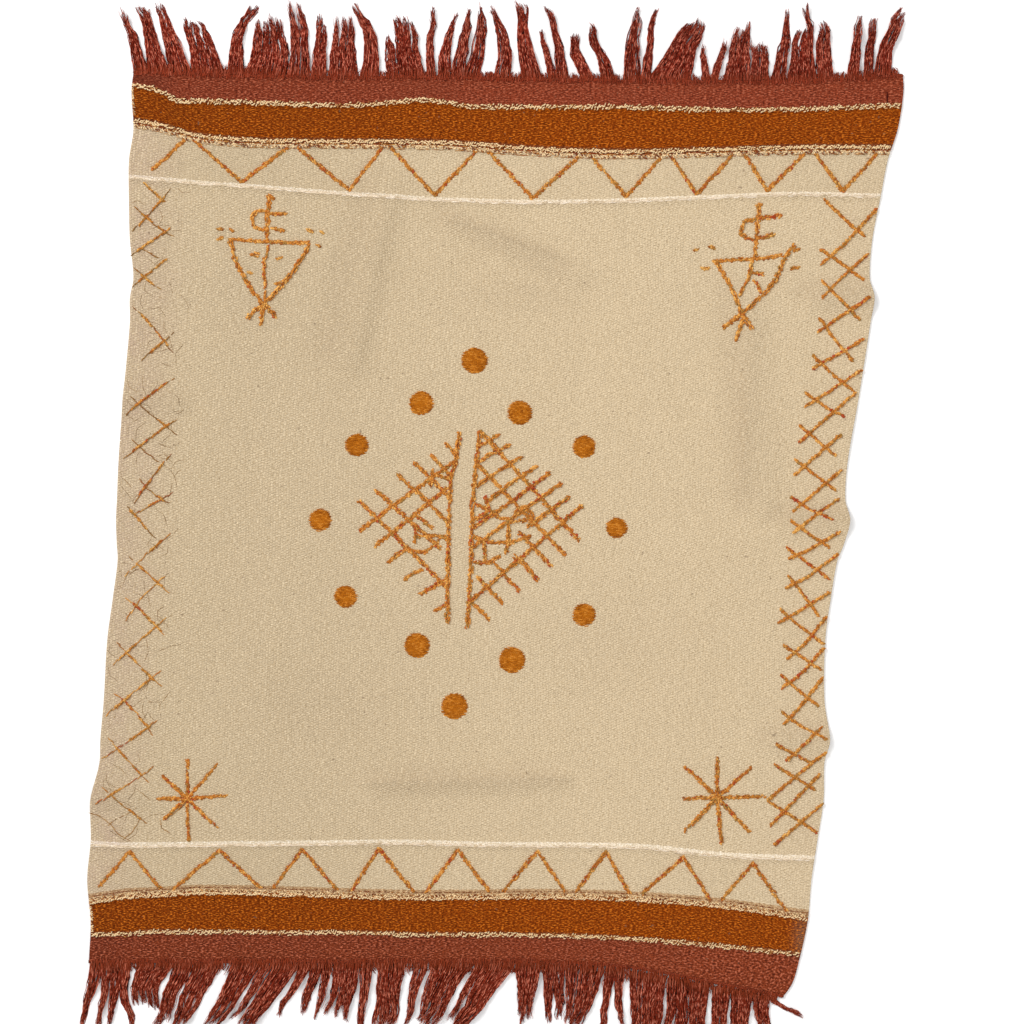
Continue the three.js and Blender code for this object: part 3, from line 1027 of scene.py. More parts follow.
def woolMaterial(wool):
    tones = woolTones[wool]
    material, graph, shader = newMaterial(tones["name"], sheen=0.05, sheenTint=woolGrain["sheenTint"])
    place = graph.onPiece()
    patch = graph.centred(place, tones["patchScale"])
    dye = graph.plus(graph.fromMesh("dye"), graph.times(graph.fromMesh("shade"), tones["spread"]))
    dye = graph.plus(dye, graph.times(patch, tones["patchSpread"]))
    tone = rampOf(graph, dye, [(share, dyes[label]) for share, label in tones["stops"]])
    # Painted shade along the grooves between the plies, and darker fine fibres at random
    turn = graph.times(graph.fromMesh("walked"), woolGrain["turns"])
    turn = graph.plus(turn, graph.times(graph.fromMesh("around"), woolGrain["plies"]))
    fibres = graph.calc("SINE", graph.times(turn, 2 * math.pi))
    fine = graph.noise(place, woolGrain["fineScale"])
    dark = graph.plus(graph.times(fibres, woolGrain["fibreShade"]), fine)
    dark = graph.ranged(dark, woolGrain["shadeFrom"], woolGrain["shadeTo"])
    shaded = blendColours(graph, 1.0, tone, woolGrain["shade"], "MULTIPLY")
    tone = blendColours(graph, dark, tone, shaded)
    aged = graph.times(graph.fromMesh("age"), woolGrain["ageShade"])
    tone = blendColours(graph, aged, tone, dyes["olive"])
    graph.tree.links.new(tone, shader.inputs["Base Color"])
    height = graph.plus(graph.times(fibres, woolGrain["fibreHeight"]), fine)
    bumped(graph, shader, height, woolGrain["bump"], woolGrain["bumpStrength"])
    return material


strokeWidth = 7.8
embroidery = {
    "Spacing": 0.88,
    "Length": 4.3,
    "Thickness": 3.5,
    "Height": 1.0,
}
strokeLabels = ["width", "presence", "age", "slant", "fine", "dye"]
handWobble = {"height": 0.5, "shortest": 18, "longest": 50}


def polyline(points, step=2.5):
    # Points along a chain of straight runs, evenly spaced, with the wobble of a hand
    points = np.array(points, float)
    runs = np.hypot(*np.diff(points, axis=0).T)
    walked = np.concatenate([[0], np.cumsum(runs)])
    count = max(3, int(walked[-1] / step))
    at = np.linspace(0, walked[-1], count)
    x = np.interp(at, walked, points[:, 0])
    y = np.interp(at, walked, points[:, 1])
    wobbles = [handWobble["height"] * softWaves(x, y, seed, handWobble["shortest"], handWobble["longest"])
               for seed in (21, 22)]
    return x + wobbles[0], y + wobbles[1]


def stroke(points, width=1.0, presence=1.0, age=0.0, slant=0.08, fine=1.0, dye=0.0, wool="thread"):
    # A line of sewing; its width and its thread are shares of the usual ones
    return {"points": points, "width": width, "presence": presence, "age": age, "slant": slant,
            "fine": fine, "dye": dye, "wool": wool}


def chosen(dice, ranges):
    return {label: dice.uniform(*ends) for label, ends in ranges.items()}


def scatter(dice, reach, around=0):
    return np.array([dice.uniform(around - reach, around + reach) for _ in range(2)])


def sewn(name, strokes, tree, material, seed, changes=None):
    lines = []
    values = {label: [] for label in strokeLabels}
    for line in strokes:
        x, y = polyline(line["points"])
        lines.append(inFrame(x, y, surface(x, y) + rowRise(x, y)))
        for label in values:
            share = strokeWidth * millimetre if label == "width" else 1
            values[label].append(np.full(len(x), line[label] * share))
    sizes = dict(sized(dict(embroidery, **(changes or {}))), Seed=seed, Material=material)
    return grow(name, guideLines(name, lines, values), tree, sizes)


# The weft rows: cream wool twined over a brown bed, in one line or two, and chalky white wool

rowLanes = table(["row", "lane", "width", "slant", "dye", "fine", "presence", "wool"], [
    ["lowerTwined", 0.0, 1.15, 0.4, -0.1, 1.0, 0.85, "cream"],
    ["lowerDouble", -2.4, 0.85, 0.4, -0.1, 1.0, 0.9, "cream"],
    ["lowerDouble", 0.8, 0.8, -0.4, 0.12, 0.9, 0.75, "cream"],
    ["lowerDouble", 4.0, 0.2, 0.1, 0.5, 0.45, 0.75, "cream"],
    ["lowerWhite", 0.0, 0.58, 0.0, 0.1, 0.9, 0.8, "white"],
    ["upperWhite", 0.0, 0.58, 0.0, 0.1, 0.9, 0.8, "white"],
    ["upperDouble", -2.8, 1.0, 0.4, -0.1, 1.0, 0.92, "cream"],
    ["upperDouble", 0.5, 0.2, 0.1, -0.2, 0.7, 0.6, "thread"],
    ["upperDouble", 2.8, 0.9, -0.4, 0.2, 0.95, 0.85, "cream"],
    ["upperDouble", 5.4, 0.2, 0.1, 0.0, 0.5, 0.5, "thread"],
    ["upperTwined", 0.0, 1.3, 0.4, -0.1, 1.0, 0.85, "cream"],
])
woolSizes = {
    "cream": {"Spacing": 0.85, "Length": 3.1, "Thickness": 1.8, "Height": 1.1, "Slant spread": 0.9},
    "white": {"Spacing": 1.0, "Length": 9.0, "Thickness": 1.8, "Height": 0.5, "Slant spread": 0.12},
    "thread": {"Spacing": 2.2, "Length": 6.0, "Thickness": 1.4, "Height": 0.8, "Slant spread": 0.2},
    "hair": {"Spacing": 3.6, "Length": 8.0, "Thickness": 1.3, "Height": 0.6, "Slant spread": 0.12},
}


selvedgeWrap = {"shift": 1.5, "width": 0.3, "presence": 0.8, "slant": 1.1, "fine": 0.8, "dye": 0.2}


def rowPoints(heights, shift, inset, count=70):
    across = np.linspace(inset, 1 - inset, count)
    y = rowHeight(heights, across) + shift
    return np.stack([acrossX(across, y), y], -1)


def rowStrokes(row, wool):
    towardsField = row["fieldSide"] or 1
    inset = 0.5 * woolSizes[wool]["Length"] / cloth["nominalWidth"] + 0.001
    return [stroke(rowPoints(row["heights"], lane["lane"] * towardsField, inset), lane["width"],
                   lane["presence"], slant=lane["slant"], fine=lane["fine"], dye=lane["dye"])
            for lane in rowLanes if lane["row"] == row["name"] and lane["wool"] == wool]


def wrapStroke(lower, upper):
    # The cream wool also wraps the left selvedge, from one row to the next
    y = np.linspace(rowNamed[lower]["heights"][0], rowNamed[upper]["heights"][0], 24)
    sizes = {label: selvedgeWrap[label] for label in selvedgeWrap if label != "shift"}
    return stroke(np.stack([leftEdge(y) + selvedgeWrap["shift"], y], -1), **sizes)


# Zigzags between a double row and a white one

zigzags = table(["name", "top", "bottom", "start", "peaks", "valleys"], [
    ["zigzag_top", "upperDouble", "upperWhite", [-413, 393],
     [-371, -253, -144, -36, 84, 179, 260, 343, 424], [-310, -187, -89, 24, 131, 212, 293, 380]],
    ["zigzag_bottom", "lowerWhite", "lowerDouble", [-474, -430],
     [-439, -336, -241, -153, -62, 29, 108, 197, 277], [-396, -283, -193, -105, -18, 67, 144, 233, 322]],
])


zigzagSewing = {
    "clear": 1.5,  # from the edge of a row to a corner
    "apart": (5, 9),  # of each of two ends at the double row, from the corner they would meet in
    "pastCorner": 2.5,
    "sizes": {"width": (0.7, 0.92), "presence": (0.85, 1), "age": (0, 0.2)},
}


def zigzagStrokes(zigzag):
    dice = random.Random(31)

    def onRow(name, x, side):
        row = rowNamed[name]
        y = nominal(row["heights"])
        for _ in range(3):
            y = float(rowHeight(row["heights"], shareAcross(x, y)))
        return [x, y + side * (rowHalfWidths[row["kind"]] + zigzagSewing["clear"])]

    peaks = [onRow(zigzag["top"], x, -1) for x in zigzag["peaks"]]
    valleys = [onRow(zigzag["bottom"], x, 1) for x in zigzag["valleys"]]
    chain = [zigzag["start"]]
    for i, peak in enumerate(peaks):
        chain.append(peak)
        if i < len(valleys):
            chain.append(valleys[i])
    onDouble, towardsRow = (peaks, 1) if zigzag["top"] == "upperDouble" else (valleys, -1)

    def apart(end, other):
        # Two strokes that end at the double row stand a little apart
        if end not in onDouble:
            return end
        shift = dice.uniform(*zigzagSewing["apart"]) * np.sign(other[0] - end[0])
        return [end[0] + shift, end[1] + zigzagSewing["pastCorner"] * towardsRow]

    return [stroke([apart(a, b), apart(b, a)], **chosen(dice, zigzagSewing["sizes"]))
            for a, b in zip(chain, chain[1:])]


# The lattice down each side: straight strokes that cross near the selvedge and away from it, and
# run on a little past each crossing away from the selvedge and past each one near it

rightCrossings = [
    [396, 325], [365, 294], [389, 277], [366, 255], [389, 232], [361, 213], [382, 186], [356, 171],
    [382, 148], [350, 129], [371, 116], [342, 90], [361, 74], [336, 52], [361, 33], [334, 10],
    [354, -1], [331, -18], [355, -34], [327, -49], [350, -66], [324, -82], [342, -106], [319, -120],
    [345, -140], [324, -161], [344, -174], [319, -195], [342, -214], [320, -236], [350, -254],
]
leftCrossings = [
    [-402, 360], [-420, 340], [-398, 323], [-429, 306], [-399, 288], [-422, 271], [-400, 254], [-427, 227],
    [-400, 195], [-428, 170], [-399, 145], [-427, 124], [-396, 98], [-427, 75], [-401, 54], [-419, 30],
    [-401, 16], [-434, -2], [-404, -36], [-430, -60], [-406, -82], [-431, -110], [-409, -132], [-442, -161],
    [-413, -190], [-447, -218], [-420, -248], [-453, -271], [-425, -302], [-460, -324], [-431, -348],
]
rightEnd = [
    [[356, -247], [315, -286]],
    [[304, -267], [343, -288]],
    [[360, -276], [294, -331]],
    [[302, -290], [348, -319]],
    [[354, -301], [297, -360]],
    [[294, -332], [351, -368]],
    [[356, -336], [302, -382]],
]
lattices = table(["name", "side", "start", "crossings", "ending", "before", "after", "faded"], [
    ["lattice_right", 1, [359, 359], rightCrossings, rightEnd, [13, 27], [13, 15], False],
    ["lattice_left", -1, [-425, 382], leftCrossings, [], [12, 12], [12, 22], True],
])
latticeSewing = {
    "selvedgeRoom": 2.0,  # between a stroke and the selvedge
    "overrun": (0.75, 1.2),  # how far it runs on past a crossing, as a share of the lattice's own reach
    "bend": 2,
    "sizes": {"width": (0.45, 0.65), "presence": (0.9, 1), "dye": (-0.1, 0.15)},
    "ending": {"width": 0.55, "presence": 0.92, "age": 0.2},
}
fading = {
    "gone": 0.12,  # the share of strokes that are gone
    "whole": 0.75,  # the share of ends that are still there, and of crossings that are bright
    "starts": (0.2, 0.5),
    "ends": (0.6, 0.8),
    "bend": 3,
    "points": 7,
    "crossings": (0.30, 0.72),
    "reach": (0.10, 0.20),
    "bright": {"width": (0.3, 0.55), "fine": (0.65, 0.9), "dye": (-0.2, 0.5)},
}


def latticeStrokes(lattice):
    dice = random.Random(57)
    onRight = lattice["side"] > 0
    crossings = [np.array(point, float) for point in [lattice["start"]] + lattice["crossings"]]
    strokes = []
    for number, (a, b) in enumerate(zip(crossings, crossings[1:])):
        way = (b - a) / np.hypot(*(b - a))
        outwards = int((b[0] > a[0]) == onRight)
        before = lattice["before"][1 - outwards] * dice.uniform(*latticeSewing["overrun"]) if number else 0
        after = lattice["after"][outwards] * dice.uniform(*latticeSewing["overrun"])
        ends = [a - way * before, b + way * after]
        for end in ends:
            if onRight:
                end[0] = min(end[0], float(rightEdge(end[1])) - latticeSewing["selvedgeRoom"])
            else:
                end[0] = max(end[0], float(leftEdge(end[1])) + latticeSewing["selvedgeRoom"])
        if lattice["faded"]:
            strokes += fadedStroke(ends, dice)
            continue
        middle = (a + b) / 2 + scatter(dice, latticeSewing["bend"])
        strokes.append(stroke([ends[0], middle, ends[1]], **chosen(dice, latticeSewing["sizes"])))
    strokes += [stroke(line, **latticeSewing["ending"]) for line in lattice["ending"]]
    return strokes


def fadedStroke(ends, dice):
    # Worn thin along most of its run, bright where another one crosses it, and here and there gone
    low = ends[0][1] < 0
    if dice.random() < fading["gone"] and not low:
        return []
    bend = scatter(dice, fading["bend"])
    middle = (ends[0] + ends[1]) / 2 + bend
    start = 0.0 if dice.random() < fading["whole"] or low else dice.uniform(*fading["starts"])
    end = 1.0 if dice.random() < fading["whole"] or low else dice.uniform(*fading["ends"])
    chain = [mix(ends[0], middle, share * 2) if share < 0.5 else mix(middle, ends[1], share * 2 - 1)
             for share in np.linspace(start, end, fading["points"])]
    age = dice.uniform(0.1, 0.6) if low else dice.uniform(0.8, 1.4)
    strokes = [stroke(chain, 0.4 if low else 0.3, 0.95, age, 0.1, 1.15, dice.uniform(-0.3, 0.4), "hair")]
    for share in fading["crossings"]:
        if start < share < end and dice.random() < fading["whole"]:
            reach = dice.uniform(*fading["reach"])
            bright = [mix(ends[0], ends[1], at) + bend * 0.6 for at in (share - reach, share + reach)]
            sizes = chosen(dice, fading["bright"])
            strokes.append(stroke(bright, presence=0.85, age=0.3, slant=0.2, **sizes))
    return strokes


wornLines = [
    [[-482, -346], [-472, -350], [-462, -358], [-452, -370], [-440, -377]],
    [[-462, -358], [-450, -350], [-437, -345]],
    [[-428, -354], [-436, -368], [-444, -374]],
    [[-404, -356], [-402, -364], [-394, -368]],
    [[-396, -352], [-386, -345], [-376, -336]],
]
looseHairs = {"count": 100, "lengths": (6, 22), "heights": (-380, 370), "fromEdge": (6, 70), "room": 4,
              "sizes": {"age": (1.0, 1.5), "dye": (0, 0.6)}}


def hairStrokes():
    # Hair-thin loose ends over the worn left side, and the last of the sewing in its bottom corner
    dice = random.Random(91)
    strokes = [stroke(line, 0.2, 0.95, 0.9, 0.1, 0.7, 0.4, "hair") for line in wornLines]
    for _ in range(looseHairs["count"]):
        y = dice.uniform(*looseHairs["heights"])
        start = np.array([float(leftEdge(y)) + dice.uniform(*looseHairs["fromEdge"]), y])
        angle = dice.uniform(0, math.pi)
        length = dice.uniform(*looseHairs["lengths"])
        way = np.array([math.cos(angle), math.sin(angle)]) * length
        bow = np.array([-way[1], way[0]]) * dice.uniform(-0.3, 0.3)
        chain = [start, start + way * 0.5 + bow, start + way]
        for point in chain:
            point[0] = max(point[0], float(leftEdge(point[1])) + looseHairs["room"])
        sizes = chosen(dice, looseHairs["sizes"])
        strokes.append(stroke(chain, 0.05, 0.9, slant=0.05, fine=0.32, wool="hair", **sizes))
    return strokes


# The split diamond in the middle: each half has an upright, and a net of two sets of lines that start
# evenly along a side and run in. How far each line runs is a share of its way to the upright.

diamondHalves = table(["name", "spine"], [
    ["diamond_left", [[-60, 91], [-62, 77], [-64, 60], [-70, 37], [-72, 2], [-73, -21], [-74, -127]]],
    ["diamond_right", [[-37, 91], [-41, 57], [-44, 23], [-46, -21], [-47, -63], [-51, -133]]],
])
diamondNets = table(["half", "first", "last", "way", "lastWay", "runs"], [
    ["diamond_left", [-174, 13], [-74, 81], [99, -99], [99, -99], [1.0, 0.9, 1.0, 1.0, 1.0, 1.0]],
    ["diamond_left", [-173, -21], [-91, -112], [110, 85], [110, 60], [1.0, 0.95, 0.3, 0.4, 1.0, 1.0]],
    ["diamond_right", [82, 7], [-14, 89], [-126, -109], [-126, -66],
     [1.0, 0.42, 1.0, 1.0, 0.75, 1.0, 1.0, 1.0]],
    ["diamond_right", [78, -32], [-26, -122], [-105, 112], [-105, 112],
     [1.0, 1.0, 0.42, 0.36, 0.5, 0.8, 0.9]],
])
oddLines = table(["half", "points", "width"], [
    ["diamond_right", [[-4, -8], [-4, -35], [-6, -47]], 0.9],
    ["diamond_right", [[2, -5], [8, 5], [15, 7], [22, -1], [25, -9], [-2, -11]], 0.85],
    ["diamond_right", [[-43, -29], [-25, -35], [-2, -35], [21, -28]], 0.9],
    ["diamond_right", [[-32, -32], [-31, -55]], 0.8],
    ["diamond_right", [[-43, -58], [-25, -58], [-14, -50]], 0.85],
    ["diamond_right", [[-31, 17], [-25, 2], [-43, -9]], 0.8],
    ["diamond_right", [[-41, 9], [-25, 2], [-14, -7], [-2, -9]], 0.8],
    ["diamond_left", [[-112, -1], [-100, -12], [-91, -18]], 1.0],
    ["diamond_left", [[-109, -28], [-89, -26], [-71, -31]], 0.85],
    ["diamond_left", [[-110, -15], [-111, -35]], 0.6],
    ["diamond_left", [[-91, 48], [-90, 37], [-94, 30]], 0.9],
    ["diamond_left", [[-90, 44], [-71, 37]], 0.9],
    ["diamond_left", [[-123, -42], [-100, -47], [-87, -35], [-84, -32]], 0.75],
])


diamondSewing = {
    "startSpread": 3,
    "aimSpread": 0.07,
    "bend": 2.0,
    "firstBend": 1.0,
    "sizes": {"width": (0.85, 1.1), "dye": (-0.1, 0.2)},
    "oddDye": (-0.1, 0.3),
}


def diamondStrokes(half):
    dice = random.Random(73)
    spine = np.array(half["spine"][::-1], float)

    def toSpine(start, way):
        share = 1.0
        for _ in range(6):
            y = start[1] + way[1] * share
            share = (np.interp(y, spine[:, 1], spine[:, 0]) - start[0]) / way[0]
        return start + way * share

    strokes = [stroke(half["spine"], 1.1, dye=0.05)]
    for net in diamondNets:
        if net["half"] != half["name"]:
            continue
        first, last = np.array(net["first"], float), np.array(net["last"], float)
        way, lastWay = np.array(net["way"], float), np.array(net["lastWay"], float)
        for i, run in enumerate(net["runs"]):
            share = i / (len(net["runs"]) - 1)
            start = mix(first, last, share) + scatter(dice, diamondSewing["startSpread"])
            aim = mix(way, lastWay, share) * scatter(dice, diamondSewing["aimSpread"], 1)
            end = mix(start, toSpine(start, aim), run)
            middle = (start + end) / 2 + scatter(dice, diamondSewing["bend" if i else "firstBend"])
            strokes.append(stroke([start, middle, end], **chosen(dice, diamondSewing["sizes"])))
    strokes += [stroke(line["points"], line["width"], 0.95, dye=dice.uniform(*diamondSewing["oddDye"]))
                for line in oddLines if line["half"] == half["name"]]
    return strokes


# Two amulet signs, each hung from the middle of its top line. Their lines are in millimetres from there.
amulets = table(["name", "x", "y"], [
    ["amulet_left", -279, 311],
    ["amulet_right", 276, 294],
])
amuletLines = table(["amulet", "points", "width"], [
    ["amulet_left", [[-45, 3], [-20, 0]], 0.5],
    ["amulet_left", [[-22, 1], [0, -1], [46, -2]], 0.85],
    ["amulet_left", [[-45, 1], [-37, -27], [-18, -58], [-6, -72], [8, -87]], 1.05],
    ["amulet_left", [[46, -6], [26, -37], [5, -62], [-6, -72], [-25, -88]], 1.05],
    ["amulet_left", [[-7, -74], [-9, -96]], 0.9],
    ["amulet_left", [[-3, 0], [-1, 32], [0, 53]], 1.1],
    ["amulet_left", [[0, 53], [6, 49]], 0.8],
    ["amulet_left", [[-1, 32], [20, 31]], 0.9],
    ["amulet_left", [[3, 15], [17, 13]], 0.6],
    ["amulet_left", [[12, 13], [17, 12]], 1.2],
    ["amulet_left", [[-1, 34], [-14, 35], [-20, 26], [-16, 15], [-3, 13]], 1.0],
    ["amulet_left", [[-1, -6], [-3, -20]], 0.35],
    ["amulet_left", [[-6, -20], [-5, -45]], 0.8],
    ["amulet_left", [[-4, -45], [-5, -70]], 0.4],
    ["amulet_left", [[-20, -14], [-12, -16]], 1.5],
    ["amulet_right", [[-45, -6], [-15, -4], [8, -3], [34, 1]], 0.75],
    ["amulet_right", [[48, 13], [37, -3], [27, -28], [12, -45], [-14, -68], [-33, -82]], 1.0],
    ["amulet_right", [[-42, -6], [-27, -32], [-16, -56], [-10, -70], [-1, -83]], 1.05],
    ["amulet_right", [[-11, -74], [-19, -97]], 0.8],
    ["amulet_right", [[2, -3], [5, 25], [8, 60]], 1.1],
    ["amulet_right", [[5, 57], [11, 57]], 1.3],
    ["amulet_right", [[6, 43], [33, 47]], 1.25],
    ["amulet_right", [[6, 20], [25, 25]], 0.95],
    ["amulet_right", [[3, 42], [-9, 40], [-14, 26], [-12, 23]], 0.8],
    ["amulet_right", [[-13, 24], [1, 18]], 1.0],
    ["amulet_right", [[0, -6], [-4, -26]], 0.8],
    ["amulet_right", [[-2, -19], [12, -21]], 0.8],
    ["amulet_right", [[-5, -27], [-15, -46]], 0.55],
    ["amulet_right", [[2, -28], [10, -42]], 0.8],
])
amuletDots = table(["amulet", "x", "y", "size"], [
    ["amulet_left", -56, 14, 0.8], ["amulet_left", -43, 13, 0.5], ["amulet_left", -56, 3, 0.9],
    ["amulet_left", 47, 12, 1.0], ["amulet_left", 61, 10, 0.5], ["amulet_left", 57, -5, 0.6],
    ["amulet_left", 12, -20, 0.8], ["amulet_left", -22, -36, 0.6], ["amulet_left", 10, -48, 0.7],
    ["amulet_right", -65, 7, 0.6], ["amulet_right", -46, 10, 0.9], ["amulet_right", -54, -14, 1.2],
    ["amulet_right", 51, 7, 0.9], ["amulet_right", 49, -14, 1.4],
])


dotSewing = {"halfLength": 3.2, "tilt": 1.5, "width": 0.6, "age": 0.3, "dye": (0, 0.8)}


def amuletStrokes(amulet):
    dice = random.Random(5)
    centre = np.array([amulet["x"], amulet["y"]], float)
    strokes = [stroke(np.array(line["points"], float) + centre, line["width"], min(1, 0.4 + line["width"]),
                      dye=dice.uniform(-0.1, 0.2))
               for line in amuletLines if line["amulet"] == amulet["name"]]
    for dot in amuletDots:
        if dot["amulet"] == amulet["name"]:
            middle = centre + np.array([dot["x"], dot["y"]])
            tilt = dice.uniform(-dotSewing["tilt"], dotSewing["tilt"])
            run = np.array([dotSewing["halfLength"] * dot["size"], tilt])
            strokes.append(stroke([middle - run, middle + run], dotSewing["width"] * dot["size"],
                                  age=dotSewing["age"], dye=dice.uniform(*dotSewing["dye"])))
    return strokes


# Two eight-rayed stars: the length of each ray, from the top one round to the left

stars = table(["name", "x", "y", "width", "rays"], [
    ["star_left", -373, -329, 0.72, [44, 52, 46, 48, 48, 36, 34, 38]],
    ["star_right", 236, -328, 0.92, [46, 52, 56, 54, 53, 57, 39, 52]],
])


raySewing = {
    "turn": 5,  # of a ray from its even place, in degrees
    "width": (0.95, 1.15),
    "full": 0.62,
    "thinFrom": 0.6,
    "thin": 0.75,
    "presence": (0.6, 0.95),
    "age": 0.15,
}


def starStrokes(star):
    # Each ray is sewn full near the middle, and thinner and worn beyond
    dice = random.Random(len(star["name"]))
    centre = np.array([star["x"], star["y"]], float)
    strokes = []
    for i, length in enumerate(star["rays"]):
        angle = math.radians(90 - 45 * i + dice.uniform(-raySewing["turn"], raySewing["turn"]))
        ray = np.array([math.cos(angle), math.sin(angle)]) * length
        width = star["width"] * dice.uniform(*raySewing["width"])
        strokes.append(stroke([centre, centre + ray * raySewing["full"]], width))
        outer = [centre + ray * raySewing["thinFrom"], centre + ray]
        width = star["width"] * raySewing["thin"]
        strokes.append(stroke(outer, width, dice.uniform(*raySewing["presence"]), raySewing["age"]))
    return strokes


# Twelve filled discs round the diamond, each laid in close level stitches

discs = table(["x", "y", "radius"], [
    [-43, 174, 14.5],
    [-104, 125, 13.5],
    [9, 114, 13.5],
    [-178, 77, 12.7],
    [83, 75, 12.7],
    [-220, -9, 12.3],
    [120, -18, 11.5],
    [-191, -97, 12.3],
    [83, -118, 12.7],
    [-109, -153, 14.0],
    [0, -170, 14.7],
    [-66, -223, 14.7],
])
discFilling = {
    "rowStep": 1.45,
    "overhang": 1.1,
    "inset": 2,  # of a row's ends from the disc's edge, so that its last stitches reach it
    "height": 0.96,  # of all the rows, as a share of the disc's
    "width": 0.3,
    "dye": 0.1,
    "sizes": {"Spacing": 2.3, "Length": 6.5, "Thickness": 1.8, "Height": 0.8, "Slant spread": 0.12},
}


def discDomes(material):
    # A low dome under each disc's stitches, so that no cloth shows between them
    points, faces = [], []
    around = np.linspace(0, 2 * math.pi, 29)[:-1]
    for disc in discs:
        rings = [(0.05, 0.6), (0.55, 0.55), (0.9, 0.35), (0.98, -0.3)]  # share of the radius, height
        start = len(points)
        for share, rise in rings:
            x = disc["x"] + disc["radius"] * share * np.cos(around)
            y = disc["y"] + disc["radius"] * share * np.sin(around)
            points += inFrame(x, y, surface(x, y) + rise).tolist()
        count = len(around)
        for ring in range(len(rings) - 1):
            for i in range(count):
                a = start + ring * count + i
                b = start + ring * count + (i + 1) % count
                faces.append([a, a + count, b + count, b])
        faces.append([start + i for i in range(count)])
    mesh = bpy.data.meshes.new("discDomes")
    mesh.from_pydata(points, [], faces)
    mesh.shade_smooth()
    mesh.materials.append(material)
    for label, value in (("shade", 0.5), ("dye", 0.1)):
        mesh.attributes.new(label, "FLOAT", "POINT").data.foreach_set("value", [value] * len(points))
    return newPiece("discDomes", mesh)


def discStrokes():
    dice = random.Random(83)
    strokes = []
    for disc in discs:
        rows = int(2 * disc["radius"] / discFilling["rowStep"])
        for i in range(rows + 1):
            y = mix(-disc["radius"], disc["radius"], i / rows) * discFilling["height"]
            half = math.sqrt(max(disc["radius"] ** 2 - y * y, 0.5)) - discFilling["inset"]
            ends = [half + dice.uniform(0, 1) * discFilling["overhang"] for _ in range(2)]
            left = [disc["x"] - max(ends[0], 1), disc["y"] + y]
            right = [disc["x"] + max(ends[1], 1), disc["y"] + y]
            strokes.append(stroke([left, right], discFilling["width"], slant=0.0, dye=discFilling["dye"]))
    return strokes


# The fringe, tuft by tuft: where its roots are and how they spread, its locks, how far its tips lean
# to the right and reach out, the share of their spacing they lose at the tips, and its bow

tuftColumns = ["root", "spread", "locks", "lean", "reach", "gather", "bow"]
topTufts = table(tuftColumns, [
    [-427, 13, 1, -23, 79, 0, 0],
    [-407, 21, 2, -20, 76, 0.5, 0],
    [-382, 25, 2, -25, 79, 0.6, 0],
    [-350, 34, 3, -17, 63, 0.45, 0],
    [-317, 17, 2, 18, 75, 0.6, -6],
    [-283, 46, 4, 2, 62, 0.35, 5],
    [-245, 24, 2, -7, 80, 0.3, 3],
    [-222, 16, 2, 6, 65, 0.3, 0],
    [-195, 31, 3, 1, 72, 0.35, 0],
    [-163, 20, 2, -20, 83, 0.6, 8],
    [-137, 12, 1, -6, 48, 0, 0],
    [-116, 28, 3, -7, 68, 0.2, 0],
    [-93, 10, 1, 5, 84, 0, -4],
    [-77, 13, 1, 17, 78, 0, -6],
    [-62, 14, 1, 18, 85, 0, -2],
    [-46, 15, 1, 10, 82, 0, 5],
    [-12, 16, 1, -16, 78, 0, 10],
    [23, 23, 2, -15, 85, 0.5, -2],
    [45, 8, 1, -12, 52, 0, 0],
    [57, 15, 1, -20, 84, 0, 4],
    [85, 14, 2, -15, 49, 0.3, -3],
    [110, 17, 1, -21, 67, 0, 0],
    [138, 16, 1, 6, 76, 0, -2],
    [153, 8, 1, 13, 79, 0, 0],
    [182, 46, 5, 31, 70, 0.7, 0],
    [223, 9, 1, -5, 40, 0, 0],
    [233, 9, 1, 12, 49, 0, 0],
    [258, 28, 3, 6, 63, 0.4, 0],
    [284, 21, 2, 1, 45, 0.05, 0],
    [306, 13, 1, 14, 81, 0, 0],
    [327, 21, 2, 5, 53, 0.3, 0],
    [344, 10, 1, -6, 83, 0, 0],
    [360, 18, 2, -5, 68, 0.1, 0],
    [391, 14, 1, 12, 73, 0, 0],
    [409, 9, 1, 10, 67, 0, 0],
    [426, 18, 2, 24, 78, 0.4, -4],
])
